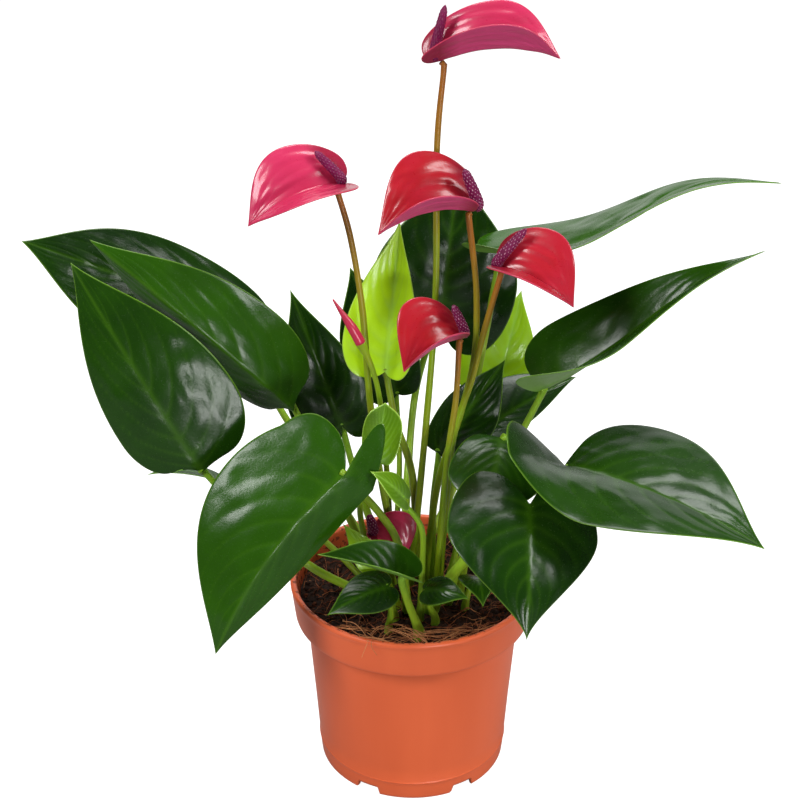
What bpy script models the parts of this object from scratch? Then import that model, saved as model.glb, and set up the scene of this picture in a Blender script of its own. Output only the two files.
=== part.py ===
"""Potted anthurium: a plastic grower's pot, its soil, and the leaves and flowers of one plant.

Frame: +Z up, origin at the middle of the pot's base. Sizes in the tables are millimetres.
Every blade and every flower hood is one curved heart-shaped sheet with a thickness, every stalk
is a tapered rod that stands on the soil and ends just under its blade.
"""

import math

import bmesh
import bpy
import numpy as np
from mathutils import Matrix, Vector

MM = 0.001

# Pot
POT_HEIGHT = 100.0
RIM_RADIUS = 60.0
RIM_BAND_HEIGHT = 19.0
RIM_TAPER = 2.2
BODY_TOP_RADIUS = 52.4
BASE_RADIUS = 46.4
POT_WALL = 1.8
FLOOR_LIFT = 6.0
FLOOR_THICKNESS = 2.0
BASE_DISC_RADIUS = 24.0
FOOT_NOTCHES = 6
NOTCH_WIDTH = 12.0
NOTCH_HEIGHT = 4.5
DRAIN_HOLE_RADIUS = 4.0
POT_SEGMENTS = 48

# Soil
SOIL_DEPTH_BELOW_RIM = 8.0
CLEARANCE = 0.3

# Plant; its heights below are drawn for soil at this height, and move with the soil
DRAWN_SOIL_TOP = 92.0
BLADE_THICKNESS = 0.9
SMALL_BLADE_THICKNESS = 0.8
HOOD_THICKNESS = 1.0
BLADE_ROWS = (0.1, 0.2, 0.29, 0.38, 0.46, 0.55, 0.64, 0.73, 0.82, 0.91, 1.0)
BLADE_HALF_COLUMNS = 3
STALK_STEPS = 8

SOIL_TOP = POT_HEIGHT - SOIL_DEPTH_BELOW_RIM


def clear_scene():
    for item in list(bpy.data.objects):
        bpy.data.objects.remove(item, do_unlink=True)


def make_material(name, color, roughness, metallic=0.0):
    material = bpy.data.materials.get(name)
    if material:
        return material
    material = bpy.data.materials.new(name)
    material.use_nodes = True
    shader = material.node_tree.nodes["Principled BSDF"]
    shader.inputs["Base Color"].default_value = (*color, 1.0)
    shader.inputs["Roughness"].default_value = roughness
    shader.inputs["Metallic"].default_value = metallic
    return material


def new_object(name, data, material):
    item = bpy.data.objects.new(name, data)
    bpy.context.scene.collection.objects.link(item)
    data.materials.append(material)
    return item


# ---------------------------------------------------------------- blades and hoods

def bezier(points, t):
    """Cubic Bezier curve through four control points at the parameters t."""
    p0, p1, p2, p3 = (np.array(p, dtype=float) for p in points)
    t = np.asarray(t, dtype=float)[:, None]
    return (1 - t) ** 3 * p0 + 3 * (1 - t) ** 2 * t * p1 + 3 * (1 - t) * t * t * p2 + t ** 3 * p3


SINUS_END = 0.22
WIDEST_ROW = 0.46


def heart_margin(rows, length, half_width, lobe, widest, full, gap):
    """One half of a heart outline: back along the notch, round the lobe, and on to the tip.

    Three cubic arcs; x runs from the junction to the tip and y from the midrib to the margin, and
    gap is how far the notch opens, as a share of the half width.
    """
    u = widest * length
    crown = 0.32 + gap
    notch = [(0, 0), (-0.35 * lobe, 0.4 * gap * half_width), (-lobe, gap * half_width),
             (-lobe, crown * half_width)]
    shoulder = [(-lobe, crown * half_width), (-lobe, max(0.78, crown + 0.1) * half_width),
                (u - 0.5 * (u + lobe), half_width), (u, half_width)]
    flank = [(u, half_width), (u + full * (length - u), half_width),
             (length - 0.24 * (length - u), (full - 0.26) * half_width), (length, 0)]
    low = rows < SINUS_END
    high = rows > WIDEST_ROW
    mid = ~low & ~high
    out = np.zeros((len(rows), 2))
    out[low] = bezier(notch, rows[low] / SINUS_END)
    out[mid] = bezier(shoulder, (rows[mid] - SINUS_END) / (WIDEST_ROW - SINUS_END))
    out[high] = bezier(flank, (rows[high] - WIDEST_ROW) / (1 - WIDEST_ROW))
    return out


def unit(v):
    v = np.asarray(v, dtype=float)
    return v / np.linalg.norm(v)


def direction(azimuth, elevation):
    a, e = math.radians(azimuth), math.radians(elevation)
    return np.array([math.cos(a) * math.cos(e), math.sin(a) * math.cos(e), math.sin(e)])


def planted(points):
    """Points of the plant in their real place: lifted by what the soil lies above its drawn height."""
    return np.array(points, float) + [0, 0, SOIL_TOP - DRAWN_SOIL_TOP]


def blade_frame(blade):
    """Unit vectors of a blade: along the midrib chord, towards its right edge, out of its face."""
    chord = np.array(blade["tip"], float) - np.array(blade["junction"], float)
    along = unit(chord)
    face = direction(*blade["face"])
    face = unit(face - along * np.dot(face, along))
    return along, np.cross(along, face), face, np.linalg.norm(chord)


def blade_points(blade, rows, columns):
    """Mid-surface of a blade on a grid of rows (junction to tip) and columns (-1 to 1).

    A row runs from a point of the midrib to a point of the margin. The midrib bows out of the
    face by arch and sideways by sweep, each half is tilted by its fold, bent down by curl and
    rippled by wave, the lobes behind the junction lean sideways, and the whole blade turns by
    twist on its way to the tip.
    """
    along, right, face, length = blade_frame(blade)
    midrib = length * np.clip((rows - 0.12) / 0.88, 0, 1) ** 1.6
    grid = np.zeros((len(rows), len(columns), 3))
    for j, c in enumerate(columns):
        side = 1 if c >= 0 else 0
        half = blade["width"][side]
        lobe = blade["lobe"][side]
        margin = heart_margin(rows, length, half, lobe, blade.get("widest", 0.2),
                              blade.get("full", 0.42), blade.get("notch", 0.12))
        flat = (1 - abs(c)) * np.stack([midrib, 0 * midrib], -1) + abs(c) * margin
        u, v = flat[:, 0], flat[:, 1]
        t = u / length
        bow = 4 * blade["arch"] * t * (1 - np.clip(t, 0, 1)) + blade.get("ess", 0) * np.sin(2 * np.pi * t)
        sweep = 4 * blade.get("sweep", 0) * t * (1 - np.clip(t, 0, 1))
        fold = math.radians(blade["fold"][side])
        reach = v / half
        lift = v * math.sin(fold) - blade["curl"][side] * reach ** 2
        base = np.clip(1 - (u + lobe) / (0.4 * length + lobe), 0, 1)
        lift += blade.get("lobe_lift", (0, 0))[side] * base ** 2 * reach
        lift += blade.get("wave", 0) * np.sin(rows * blade.get("waves", 15.0) + 2 * side) * reach ** 2
        across = v * math.cos(fold) * (1 if side else -1) + blade.get("lean", 0) * np.minimum(u, 0)
        turn = np.radians(blade.get("twist", 0)) * t
        x = across * np.cos(turn) - lift * np.sin(turn)
        z = across * np.sin(turn) + lift * np.cos(turn)
        grid[:, j] = (planted(blade["junction"]) + np.outer(u, along)
                      + np.outer(x + sweep, right) + np.outer(z + bow, face))
    return grid


def add_blade(name, blade, thickness, material):
    """A blade as a grid mesh on its mid-surface, thickened by a Solidify modifier."""
    rows = np.array(BLADE_ROWS)
    steps = len(rows) - 1
    columns = np.linspace(-1, 1, 2 * BLADE_HALF_COLUMNS + 1)
    points = blade_points(blade, rows, columns)
    shape = bmesh.new()
    bmesh.ops.create_grid(shape, x_segments=steps, y_segments=2 * BLADE_HALF_COLUMNS, size=1)
    shape.verts.ensure_lookup_table()
    for vert in shape.verts:
        i = round((vert.co.x + 1) / 2 * steps)
        j = round((vert.co.y + 1) / 2 * 2 * BLADE_HALF_COLUMNS)
        vert.co = Vector(points[i, j] * MM)
    bmesh.ops.remove_doubles(shape, verts=shape.verts, dist=0.00002)
    mesh = bpy.data.meshes.new(name)
    shape.to_mesh(mesh)
    shape.free()
    mesh.shade_smooth()
    item = new_object(name, mesh, material)
    solid = item.modifiers.new("thickness", "SOLIDIFY")
    solid.thickness = thickness * MM
    solid.offset = 0
    return item


# ---------------------------------------------------------------- stalks and spadices

def smooth_path(points, count):
    """Catmull-Rom curve through the points, resampled at equal steps."""
    p = np.array(points, dtype=float)
    p = np.vstack([2 * p[0] - p[1], p, 2 * p[-1] - p[-2]])
    dense = []
    for a, b, c, d in zip(p[:-3], p[1:-2], p[2:-1], p[3:]):
        t = np.linspace(0, 1, 12, endpoint=False)[:, None]
        dense.append(0.5 * (2 * b + (c - a) * t + (2 * a - 5 * b + 4 * c - d) * t ** 2
                            + (3 * b - a - 3 * c + d) * t ** 3))
    dense = np.vstack(dense + [p[-2:-1]])
    length = np.concatenate([[0], np.cumsum(np.linalg.norm(np.diff(dense, axis=0), axis=1))])
    at = np.linspace(0, length[-1], count)
    return np.stack([np.interp(at, length, dense[:, k]) for k in range(3)], -1)


def add_rod(name, points, radii, material, resolution=1):
    """A rod of round section with closed ends: a bevelled polyline with its own radius per point."""
    curve = bpy.data.curves.new(name, "CURVE")
    curve.dimensions = "3D"
    curve.bevel_depth = MM
    curve.bevel_resolution = resolution
    curve.use_fill_caps = True
    spline = curve.splines.new("POLY")
    spline.points.add(len(points) - 1)
    for target, point, radius in zip(spline.points, points, radii):
        target.co = (*(np.array(point) * MM), 1)
        target.radius = radius
    spline.use_smooth = True
    return new_object(name, curve, material)


def stalk_route(foot, via, seat, normal):
    """Route of a stalk from the soil through its via points to its seat, ending along normal."""
    start = np.array([foot[0], foot[1], SOIL_TOP + CLEARANCE])
    neck = start + np.array([0, 0, 3])
    knee = seat - 2 * normal
    return np.vstack([start, smooth_path([neck, *planted(via), knee], STALK_STEPS), seat])


def blade_seat(blade, thickness, end_radius, side):
    """Seat of a rod's end above (side 1) or under (side -1) the junction, and the normal there.

    The normal halves the angle between the two folded halves of the blade; the seat stands off
    far enough for the rod's edge to clear both halves.
    """
    along, right, face, length = blade_frame(blade)
    fold = [math.radians(f) for f in blade["fold"]]
    lean = (math.sin(fold[0]) - math.sin(fold[1])) * right
    lean = lean + (math.cos(fold[0]) + math.cos(fold[1])) * face
    slope = (4 * blade["arch"] + 2 * math.pi * blade.get("ess", 0)) / length
    normal = unit(unit(lean) - slope * along)
    half_angle = (math.pi - side * (fold[0] + fold[1])) / 2
    gap = thickness / 2 + CLEARANCE + blade.get("seat_drop", 0.0)
    depth = (gap + end_radius * max(0.0, math.cos(half_angle))) / math.sin(half_angle)
    return planted(blade["junction"]) + side * depth * normal, normal


def add_stalk(name, blade, thickness, foot, via, radii, material):
    seat, normal = blade_seat(blade, thickness, radii[1], -1)
    route = stalk_route(foot, via, seat, normal)
    share = np.linspace(0, 1, len(route))
    width = radii[0] + (radii[1] - radii[0]) * share
    return add_rod(name, route, width, material)


LEAF_GREEN = make_material("leaf_green", (0.02, 0.09, 0.015), 0.3)
YOUNG_GREEN = make_material("young_green", (0.13, 0.33, 0.03), 0.35)
STEM_GREEN = make_material("stem_green", (0.09, 0.19, 0.03), 0.4)
HOOD_RED = make_material("hood_red", (0.42, 0.01, 0.05), 0.3)
SPADIX_PURPLE = make_material("spadix_purple", (0.13, 0.01, 0.09), 0.5)
POT_ORANGE = make_material("pot_terracotta", (0.60, 0.13, 0.05), 0.35)
SOIL_BROWN = make_material("soil_brown", (0.03, 0.015, 0.01), 0.95)


def add_leaf(name, blade, foot, via, radii=(2.2, 1.5), material=LEAF_GREEN):
    """A leaf: its blade, and its petiole as a separate stem just under the blade's junction."""
    add_blade("leaf_" + name, blade, BLADE_THICKNESS, material)
    add_stalk("petiole_" + name, blade, BLADE_THICKNESS, foot, via, radii, STEM_GREEN)


def add_small_leaf(name, blade, foot, via, radii=(1.6, 1.2), material=LEAF_GREEN):
    """A small leaf as one body: the blade united with its petiole, which ends inside the blade."""
    item = add_blade("leaf_" + name, blade, SMALL_BLADE_THICKNESS, material)
    sunk = dict(blade, seat_drop=-CLEARANCE - SMALL_BLADE_THICKNESS * 0.75)
    stem = add_stalk("stem_" + name, sunk, SMALL_BLADE_THICKNESS, foot, via, radii, material)
    shape = bmesh.new()
    shape.from_mesh(bpy.data.meshes.new_from_object(stem))
    bpy.data.objects.remove(stem, do_unlink=True)
    bmesh.ops.remove_doubles(shape, verts=shape.verts, dist=0.00001)
    bmesh.ops.recalc_face_normals(shape, faces=shape.faces)
    mesh = bpy.data.meshes.new("stem_guide_" + name)
    shape.to_mesh(mesh)
    shape.free()
    guide = bpy.data.objects.new("stem_guide_" + name, mesh)
    bpy.context.scene.collection.objects.link(guide)
    guide.hide_render = True
    guide.display_type = "WIRE"
    union = item.modifiers.new("stem", "BOOLEAN")
    union.operation = "UNION"
    union.object = guide
    union.solver = "EXACT"
    return item


def add_flower(name, blade, spadix, foot, via, radii=(1.8, 1.3)):
    """A flower: hood, the spadix standing on its junction, and the long stalk below it."""
    add_blade("spathe_" + name, blade, HOOD_THICKNESS, HOOD_RED)
    add_stalk("flower_stalk_" + name, blade, HOOD_THICKNESS, foot, via, radii, STEM_GREEN)
    base, normal = blade_seat(blade, HOOD_THICKNESS, 0.5 * spadix["radius"], 1)
    top = planted(spadix["top"])
    path = smooth_path([base, base + 2.5 * normal, top], 8)
    path[1] = base + 1.5 * normal
    swell = np.array([0.5, 0.8, 1.0, 0.98, 0.92, 0.84, 0.66, 0.22])
    add_rod("spadix_" + name, path, spadix["radius"] * swell, SPADIX_PURPLE, resolution=2)


# ---------------------------------------------------------------- pot and soil

def cutter(name, mesh_maker):
    shape = bmesh.new()
    mesh_maker(shape)
    mesh = bpy.data.meshes.new(name)
    shape.to_mesh(mesh)
    shape.free()
    item = bpy.data.objects.new(name, mesh)
    bpy.context.scene.collection.objects.link(item)
    item.hide_render = True
    item.display_type = "WIRE"
    return item


def cut(target, tool):
    boolean = target.modifiers.new(tool.name, "BOOLEAN")
    boolean.operation = "DIFFERENCE"
    boolean.object = tool
    boolean.solver = "EXACT"


def body_radius(z):
    """Outer radius of the tapered body at height z."""
    top = POT_HEIGHT - RIM_BAND_HEIGHT
    return BASE_RADIUS + (BODY_TOP_RADIUS - BASE_RADIUS) * z / top


def make_pot():
    """Turned pot: rim band, tapered body, foot ring, drained floor and a flat middle disc."""
    band = POT_HEIGHT - RIM_BAND_HEIGHT
    low_rim = RIM_RADIUS - RIM_TAPER
    floor_top = FLOOR_LIFT + FLOOR_THICKNESS
    inner_floor = body_radius(floor_top) - POT_WALL
    profile = [
        (0, 0), (BASE_DISC_RADIUS, 0), (BASE_DISC_RADIUS + 2, FLOOR_LIFT),
        (BASE_RADIUS - POT_WALL, FLOOR_LIFT), (BASE_RADIUS - POT_WALL, 0), (BASE_RADIUS, 0),
        (body_radius(10) + 0.6, 10), (BODY_TOP_RADIUS, band - 1), (BODY_TOP_RADIUS + 0.8, band + 0.6),
        (low_rim - 0.8, band + 0.4), (low_rim, band + 1.4),
        (RIM_RADIUS - 0.2, POT_HEIGHT - 1.6), (RIM_RADIUS, POT_HEIGHT - 0.8),
        (RIM_RADIUS - 0.8, POT_HEIGHT), (RIM_RADIUS - POT_WALL - 0.6, POT_HEIGHT),
        (RIM_RADIUS - POT_WALL - 1.2, POT_HEIGHT - 1), (low_rim - POT_WALL - 1.4, band + 2.8),
        (BODY_TOP_RADIUS - POT_WALL, band - 1.5), (inner_floor, floor_top),
        (BASE_DISC_RADIUS + 1, floor_top), (BASE_DISC_RADIUS - 1, FLOOR_THICKNESS),
        (0, FLOOR_THICKNESS),
    ]
    pot = turned_disc("pot", profile, POT_ORANGE)

    def holes(shape):
        ring = (BASE_DISC_RADIUS + 2 + BASE_RADIUS - POT_WALL) / 2
        for k in range(FOOT_NOTCHES):
            turn = Matrix.Rotation(math.radians(25 + 360 * k / FOOT_NOTCHES), 4, "Z")
            place = turn @ Matrix.Translation((ring * MM, 0, (FLOOR_LIFT + FLOOR_THICKNESS / 2) * MM))
            bmesh.ops.create_cone(shape, cap_ends=True, segments=12, radius1=DRAIN_HOLE_RADIUS * MM,
                                  radius2=DRAIN_HOLE_RADIUS * MM, depth=3 * FLOOR_THICKNESS * MM,
                                  matrix=place)

    def notches(shape):
        for k in range(FOOT_NOTCHES):
            turn = Matrix.Rotation(math.radians(-119 + 360 * k / FOOT_NOTCHES), 4, "Z")
            place = turn @ Matrix.Translation((BASE_RADIUS * MM, 0, 0))
            size = Matrix.Diagonal((8 * MM, NOTCH_WIDTH * MM, 2 * NOTCH_HEIGHT * MM, 1))
            bmesh.ops.create_cube(shape, size=1, matrix=place @ size)

    cut(pot, cutter("drain_hole_cutter", holes))
    cut(pot, cutter("foot_notch_cutter", notches))
    return pot


def turned_disc(name, profile, material):
    """A turned solid whose profile starts and ends on the axis."""
    shape = bmesh.new()
    ring = [shape.verts.new((r * MM, 0, z * MM)) for r, z in profile]
    edges = [shape.edges.new((a, b)) for a, b in zip(ring[:-1], ring[1:])]
    bmesh.ops.spin(shape, geom=ring + edges, cent=(0, 0, 0), axis=(0, 0, 1),
                   angle=2 * math.pi, steps=POT_SEGMENTS, use_merge=True)
    bmesh.ops.remove_doubles(shape, verts=shape.verts, dist=0.00001)
    bmesh.ops.recalc_face_normals(shape, faces=shape.faces)
    mesh = bpy.data.meshes.new(name)
    shape.to_mesh(mesh)
    shape.free()
    mesh.shade_smooth()
    mesh.set_sharp_from_angle(angle=math.radians(35))
    return new_object(name, mesh, material)


def make_soil():
    """The potting mix: it fills the pot with a small clearance, flat on top."""
    floor_top = FLOOR_LIFT + FLOOR_THICKNESS + CLEARANCE
    low = body_radius(floor_top) - POT_WALL - CLEARANCE
    band = POT_HEIGHT - RIM_BAND_HEIGHT
    neck = BODY_TOP_RADIUS - POT_WALL - CLEARANCE
    low_rim = RIM_RADIUS - RIM_TAPER - POT_WALL - 1.4 - CLEARANCE
    profile = [(0, floor_top), (low, floor_top), (neck, band - 1.5), (low_rim, band + 3.2),
               (low_rim + 0.2, SOIL_TOP), (0, SOIL_TOP)]
    return turned_disc("soil", profile, SOIL_BROWN)


# ---------------------------------------------------------------- the plant

def make_leaves():
    add_leaf("front_left", dict(
        junction=(-31, -45, 181), tip=(-90, -68, 102), face=(-95, 32), width=(19, 42), lobe=(27, 14),
        arch=7, sweep=5, fold=(-42, 0), curl=(2, 4), lobe_lift=(10, 0), widest=0.25, full=0.55,
        notch=0.12, lean=-0.45),
        foot=(-3, -22), via=[(-7, -26, 132), (-16, -29, 152)])
    add_leaf("left_upper", dict(
        junction=(-56, 5, 188), tip=(-143, 0, 275), face=(-85, 30), width=(21, 29), lobe=(-6, -4),
        arch=8, fold=(-58, 0), curl=(2, 3), widest=0.28, full=0.5),
        foot=(-17, 2), via=[(-38, 2, 150)])
    add_leaf("left_lower", dict(
        junction=(-97, -20, 169), tip=(-151, -5, 266), face=(-90, 20), width=(24.5, 34), lobe=(-7, -2),
        arch=6, fold=(0, 0), curl=(4, 4), widest=0.26, full=0.5),
        foot=(-19, -13), via=[(-48, -24, 120), (-80, -22, 150)])
    add_leaf("left_back", dict(
        junction=(-87, 70, 203), tip=(-184, 45, 258), face=(-75, 45), width=(32, 28), lobe=(16, 16),
        arch=5, fold=(0, 10), curl=(4, 4), widest=0.36, full=0.55),
        foot=(-15, 13), via=[(-36, 30, 124), (-67, 60, 163)])
    add_leaf("mid_left", dict(
        junction=(-34, 28, 168), tip=(-58, 40, 235), face=(-85, 15), width=(22, 19), lobe=(9, 9),
        arch=4, fold=(10, 10), curl=(3, 3)), foot=(-11, 5), via=[(-26, 20, 138)])
    add_leaf("young_upright", dict(
        junction=(-13, 5, 208), tip=(-6, 18, 277), face=(-95, 0), width=(22, 14), lobe=(3, 3),
        arch=-4, fold=(20, 25), curl=(0, 0)), foot=(3, 9), via=[(0, 8, 150), (-8, 7, 180)],
        material=YOUNG_GREEN)
    add_leaf("back_centre", dict(
        junction=(15, 62, 214), tip=(23, 80, 282), face=(-90, 10), width=(36, 36), lobe=(21, 21),
        arch=4, fold=(5, 5), curl=(4, 4)), foot=(-4, 18), via=[(-2, 34, 136), (3, 62, 173)])
    add_leaf("right_upper", dict(
        junction=(41, 40, 253), tip=(163, 10, 296), face=(165, 67), width=(31, 30), lobe=(12, 12),
        arch=2, ess=-6, fold=(8, 12), curl=(1, 1), lobe_lift=(0, 14), widest=0.18, full=0.3),
        foot=(13, 18), via=[(20, 23, 140), (32, 33, 195)])
    add_leaf("right_mid", dict(
        junction=(59, 8, 196), tip=(160, 14, 263), face=(-100, 50), width=(29, 28), lobe=(0, 3),
        arch=4, ess=-6, fold=(0, 60), curl=(3, 0), lobe_lift=(0, 48), widest=0.16, full=0.3),
        foot=(21, 3), via=[(38, 4, 145)])
    add_leaf("right_front", dict(
        junction=(69, -22, 172), tip=(145, -92, 170), face=(-95, 66), width=(40, 42), lobe=(1, 16),
        arch=8, fold=(0, 22), curl=(5, 5), lobe_lift=(6, 60), widest=0.3, full=0.46, notch=0.02,
        lean=0.6),
        foot=(17, -13), via=[(26, -16, 125), (48, -22, 153)])
    add_leaf("front_right", dict(
        junction=(50, -55, 171), tip=(47, -92, 125), face=(-90, 42), width=(37, 36), lobe=(16, 16),
        arch=8, fold=(-30, 0), curl=(2, 4), notch=0.25, full=0.32),
        foot=(9, -21), via=[(20, -27, 120), (38, -41, 150)], radii=(3.0, 1.6))
    add_leaf("mid_right", dict(
        junction=(41, -10, 180), tip=(31, -42, 155), face=(-90, 60), width=(21, 21), lobe=(1, 1),
        arch=4, fold=(0, 0), curl=(3, 3), widest=0.5), foot=(23, -5), via=[(30, -6, 140)])
    add_leaf("upright_right", dict(
        junction=(12, 12, 162), tip=(44, 20, 207), face=(-100, 15), width=(12, 16), lobe=(1, 1),
        arch=4, fold=(0, 0), curl=(3, 3), widest=0.38), foot=(10, 9), via=[(10, 10, 130)])
    add_leaf("bright_back", dict(
        junction=(43, 75, 164), tip=(57, 88, 215), face=(-80, 20), width=(24, 18), lobe=(3, 3),
        arch=4, fold=(10, 10), curl=(3, 3)), foot=(5, 24), via=[(26, 52, 130)], material=YOUNG_GREEN)
    add_small_leaf("small_back", dict(
        junction=(-7, 54, 173), tip=(-30, 62, 238), face=(-85, 10), width=(19, 18), lobe=(3, 3),
        arch=4, fold=(8, 8), curl=(3, 3), widest=0.4), foot=(-9, 22), via=[(-6, 40, 138)])
    add_small_leaf("right_low", dict(
        junction=(37, 40, 160), tip=(84, 62, 178), face=(-100, 50), width=(20, 10), lobe=(3, 3),
        arch=4, fold=(0, -40), curl=(3, 1), widest=0.3), foot=(20, 14), via=[(29, 28, 130)])
    add_small_leaf("left_under", dict(
        junction=(-92, 14, 146), tip=(-126, 0, 157), face=(60, 75), width=(11, 11), lobe=(4, 4),
        arch=3, fold=(10, 10), curl=(1, 1)), foot=(-21, -4), via=[(-50, 4, 124)])
    add_small_leaf("cupped", dict(
        junction=(-17, -25, 177), tip=(-13, -20, 204), face=(-90, 10), width=(9, 10), lobe=(1, 1),
        arch=-2, fold=(20, 20), curl=(0, 0), widest=0.5, full=0.75), foot=(-16, -10),
        via=[(-25, -12, 140), (-22, -20, 163)], material=YOUNG_GREEN)
    add_small_leaf("spoon", dict(
        junction=(-5, -34, 163), tip=(-20, -42, 181), face=(-90, 60), width=(7, 8), lobe=(5, 5),
        arch=1, fold=(10, 10), curl=(1, 1)), foot=(3, -27), via=[(4, -25, 122), (3, -31, 146)],
        material=YOUNG_GREEN)
    add_small_leaf("front_folded", dict(
        junction=(-5, -52, 132), tip=(-44, -53, 145), face=(-90, 55), width=(14, 14), lobe=(8, 8),
        arch=2, fold=(70, 10), curl=(0, 0)), foot=(2, -40), via=[(-3, -46, 114)], radii=(2.2, 1.5))
    add_small_leaf("low_bright", dict(
        junction=(-17, -33, 126), tip=(-33, -28, 146), face=(-90, 50), width=(8, 6), lobe=(1, 1),
        arch=2, fold=(0, 0), curl=(1, 1)), foot=(-9, -28), via=[(-12, -30, 108)],
        material=YOUNG_GREEN)
    add_small_leaf("rim_left", dict(
        junction=(-12, -44, 122), tip=(-40, -60, 117), face=(-90, 60), width=(10, 12), lobe=(4, 4),
        arch=3, fold=(-40, 0), curl=(1, 2)), foot=(-12, -38), via=[(-11, -40, 106)])
    add_small_leaf("rim_right", dict(
        junction=(5, -35, 114), tip=(25, -46, 116), face=(-90, 60), width=(9, 7), lobe=(3, 3),
        arch=3, fold=(0, -30), curl=(2, 1)), foot=(10, -30), via=[(7, -32, 104)])
    add_small_leaf("rim_back", dict(
        junction=(29, -20, 112), tip=(32, -38, 106), face=(-70, 45), width=(8, 9), lobe=(3, 3),
        arch=4, fold=(0, 0), curl=(1, 1)), foot=(25, -19), via=[(27, -18, 104)])


def make_flowers():
    add_flower("top", dict(
        junction=(11, 10, 351), tip=(62, 8, 352), face=(-90, 60), width=(22, 17), lobe=(8, 8),
        arch=7, fold=(30, 75), curl=(2, 0), widest=0.5, full=0.62),
        dict(top=(13, 12, 374), radius=2.4), foot=(-1, 2), via=[(6, 4, 180), (10, 8, 242), (10, 10, 312)])
    add_flower("centre", dict(
        junction=(25, -5, 289), tip=(-16, -16, 282), face=(-90, 60), width=(15, 28), lobe=(2, 6),
        arch=7, fold=(70, 30), curl=(0, 2), widest=0.38, full=0.6),
        dict(top=(21, -8, 309), radius=2.8), foot=(6, 3),
        via=[(12, 4, 149), (22, 6, 184), (28, 5, 215), (28, 0, 250)])
    add_flower("left", dict(
        junction=(-33, 0, 300), tip=(-72, -10, 284), face=(-90, 60), width=(20, 23), lobe=(7, 7),
        arch=6, fold=(35, 25), curl=(0, 2), widest=0.35, full=0.6),
        dict(top=(-43, 2, 314), radius=2.4), foot=(-4, -6),
        via=[(-14, -7, 150), (-20, -6, 197), (-23, -3, 241), (-28, 0, 275)])
    add_flower("right", dict(
        junction=(38, -5, 263), tip=(70, -16, 248), face=(-90, 60), width=(24, 18), lobe=(5, 5),
        arch=5, fold=(30, 45), curl=(2, 0), widest=0.35, full=0.6),
        dict(top=(49, -5, 281), radius=2.6), foot=(13, -3), via=[(18, -3, 172), (27, -1, 207), (32, -1, 231)])
    add_flower("middle", dict(
        junction=(21, -10, 231), tip=(-5, -22, 220), face=(-90, 60), width=(15, 25), lobe=(3, 3),
        arch=5, fold=(65, 30), curl=(0, 2), widest=0.38, full=0.65),
        dict(top=(17, -12, 248), radius=2.4), foot=(11, -13), via=[(15, -12, 165), (19, -11, 200)])
    add_flower("low", dict(
        junction=(-20, -16, 134), tip=(-5, -18, 119), face=(-70, 50), width=(18, 8), lobe=(2, 2),
        arch=2, fold=(30, 40), curl=(0, 0), widest=0.4, full=0.6),
        dict(top=(-21, -18, 145), radius=2.6), foot=(-8, -18), via=[(-15, -15, 113)])
    add_bud()


def add_bud():
    """A young flower still rolled up: a slim spindle on its own stalk, one piece."""
    way = [(-12, -1, 150), (-16, -13, 205), (-24, -14, 231), (-36, -14, 252)]
    route = smooth_path([(-10, -1, SOIL_TOP + CLEARANCE), *planted(way)], 13)
    radii = [1.5, 1.5, 1.4, 1.4, 1.3, 1.3, 1.2, 1.2, 1.4, 2.4, 2.2, 1.2, 0.3]
    add_rod("flower_bud", route, radii, HOOD_RED)


def make_object():
    clear_scene()
    make_pot()
    make_soil()
    make_leaves()
    make_flowers()


make_object()
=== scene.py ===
"""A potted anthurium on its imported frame: grower's pot, potting mix, leaves on petioles, flowers.

Sizes in the tables are millimetres, and MM turns them into metres.
"""

import math

import bpy
import numpy as np
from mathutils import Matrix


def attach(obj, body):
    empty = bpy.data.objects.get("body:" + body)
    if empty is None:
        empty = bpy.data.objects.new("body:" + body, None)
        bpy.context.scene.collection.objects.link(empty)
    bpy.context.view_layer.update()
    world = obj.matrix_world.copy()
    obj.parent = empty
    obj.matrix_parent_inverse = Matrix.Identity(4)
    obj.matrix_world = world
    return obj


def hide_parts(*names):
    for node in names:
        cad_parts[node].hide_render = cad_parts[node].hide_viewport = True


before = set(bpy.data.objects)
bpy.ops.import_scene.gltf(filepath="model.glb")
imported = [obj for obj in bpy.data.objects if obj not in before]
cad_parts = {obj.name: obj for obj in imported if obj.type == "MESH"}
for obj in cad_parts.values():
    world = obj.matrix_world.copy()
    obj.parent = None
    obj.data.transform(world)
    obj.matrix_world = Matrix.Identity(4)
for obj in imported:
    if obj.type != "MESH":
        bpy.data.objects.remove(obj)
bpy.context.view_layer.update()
MM = 0.001


# ------------------------------------------------------------------ the grower's pot
# A thin moulded pot of terracotta-coloured plastic: a tapered body under a deep rim band, a foot
# ring with notches for the water, and a raised floor. It is one turned wall, satin, with faint
# flow marks from the mould and a little dried mix on the inside of the rim.

POT_PROFILE = [
    (0, 0), (20, 0), (24, 0.3), (25.4, 3), (26, 6), (40, 6), (44.2, 6), (44.6, 4), (44.6, 0.3), (45, 0),
    (46.1, 0), (46.5, 0.5), (46.9, 4), (47.3, 9), (47.6, 9.8), (47.3, 10.6), (48.9, 35), (50.6, 58),
    (52.2, 79.4), (52.6, 80.8), (53.2, 81.2), (56.8, 81.2), (57.6, 81.5), (57.9, 82.4), (58.8, 90),
    (59.6, 97.4), (59.9, 98.1), (60, 99), (59.7, 99.8), (59.1, 100.1), (57.9, 100.1), (57.2, 99.7),
    (56.6, 98.2), (55.2, 86), (54.4, 84), (50.8, 80.5), (49, 58), (47.2, 35), (45.4, 9), (44, 8),
    (26, 8), (24.6, 7), (23, 2), (20, 2), (0, 2)]
INNER_WALL = (29, 37)          # places in the profile between which the inside wall lies
PROFILE_CUTS = 3
POT_SIDES = 288
NOTCHES = 6
NOTCH_HALF_WIDTH = 6.0
NOTCH_EDGE = 0.9
NOTCH_HEIGHT = 4.6
FIRST_NOTCH = math.radians(-119)
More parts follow.
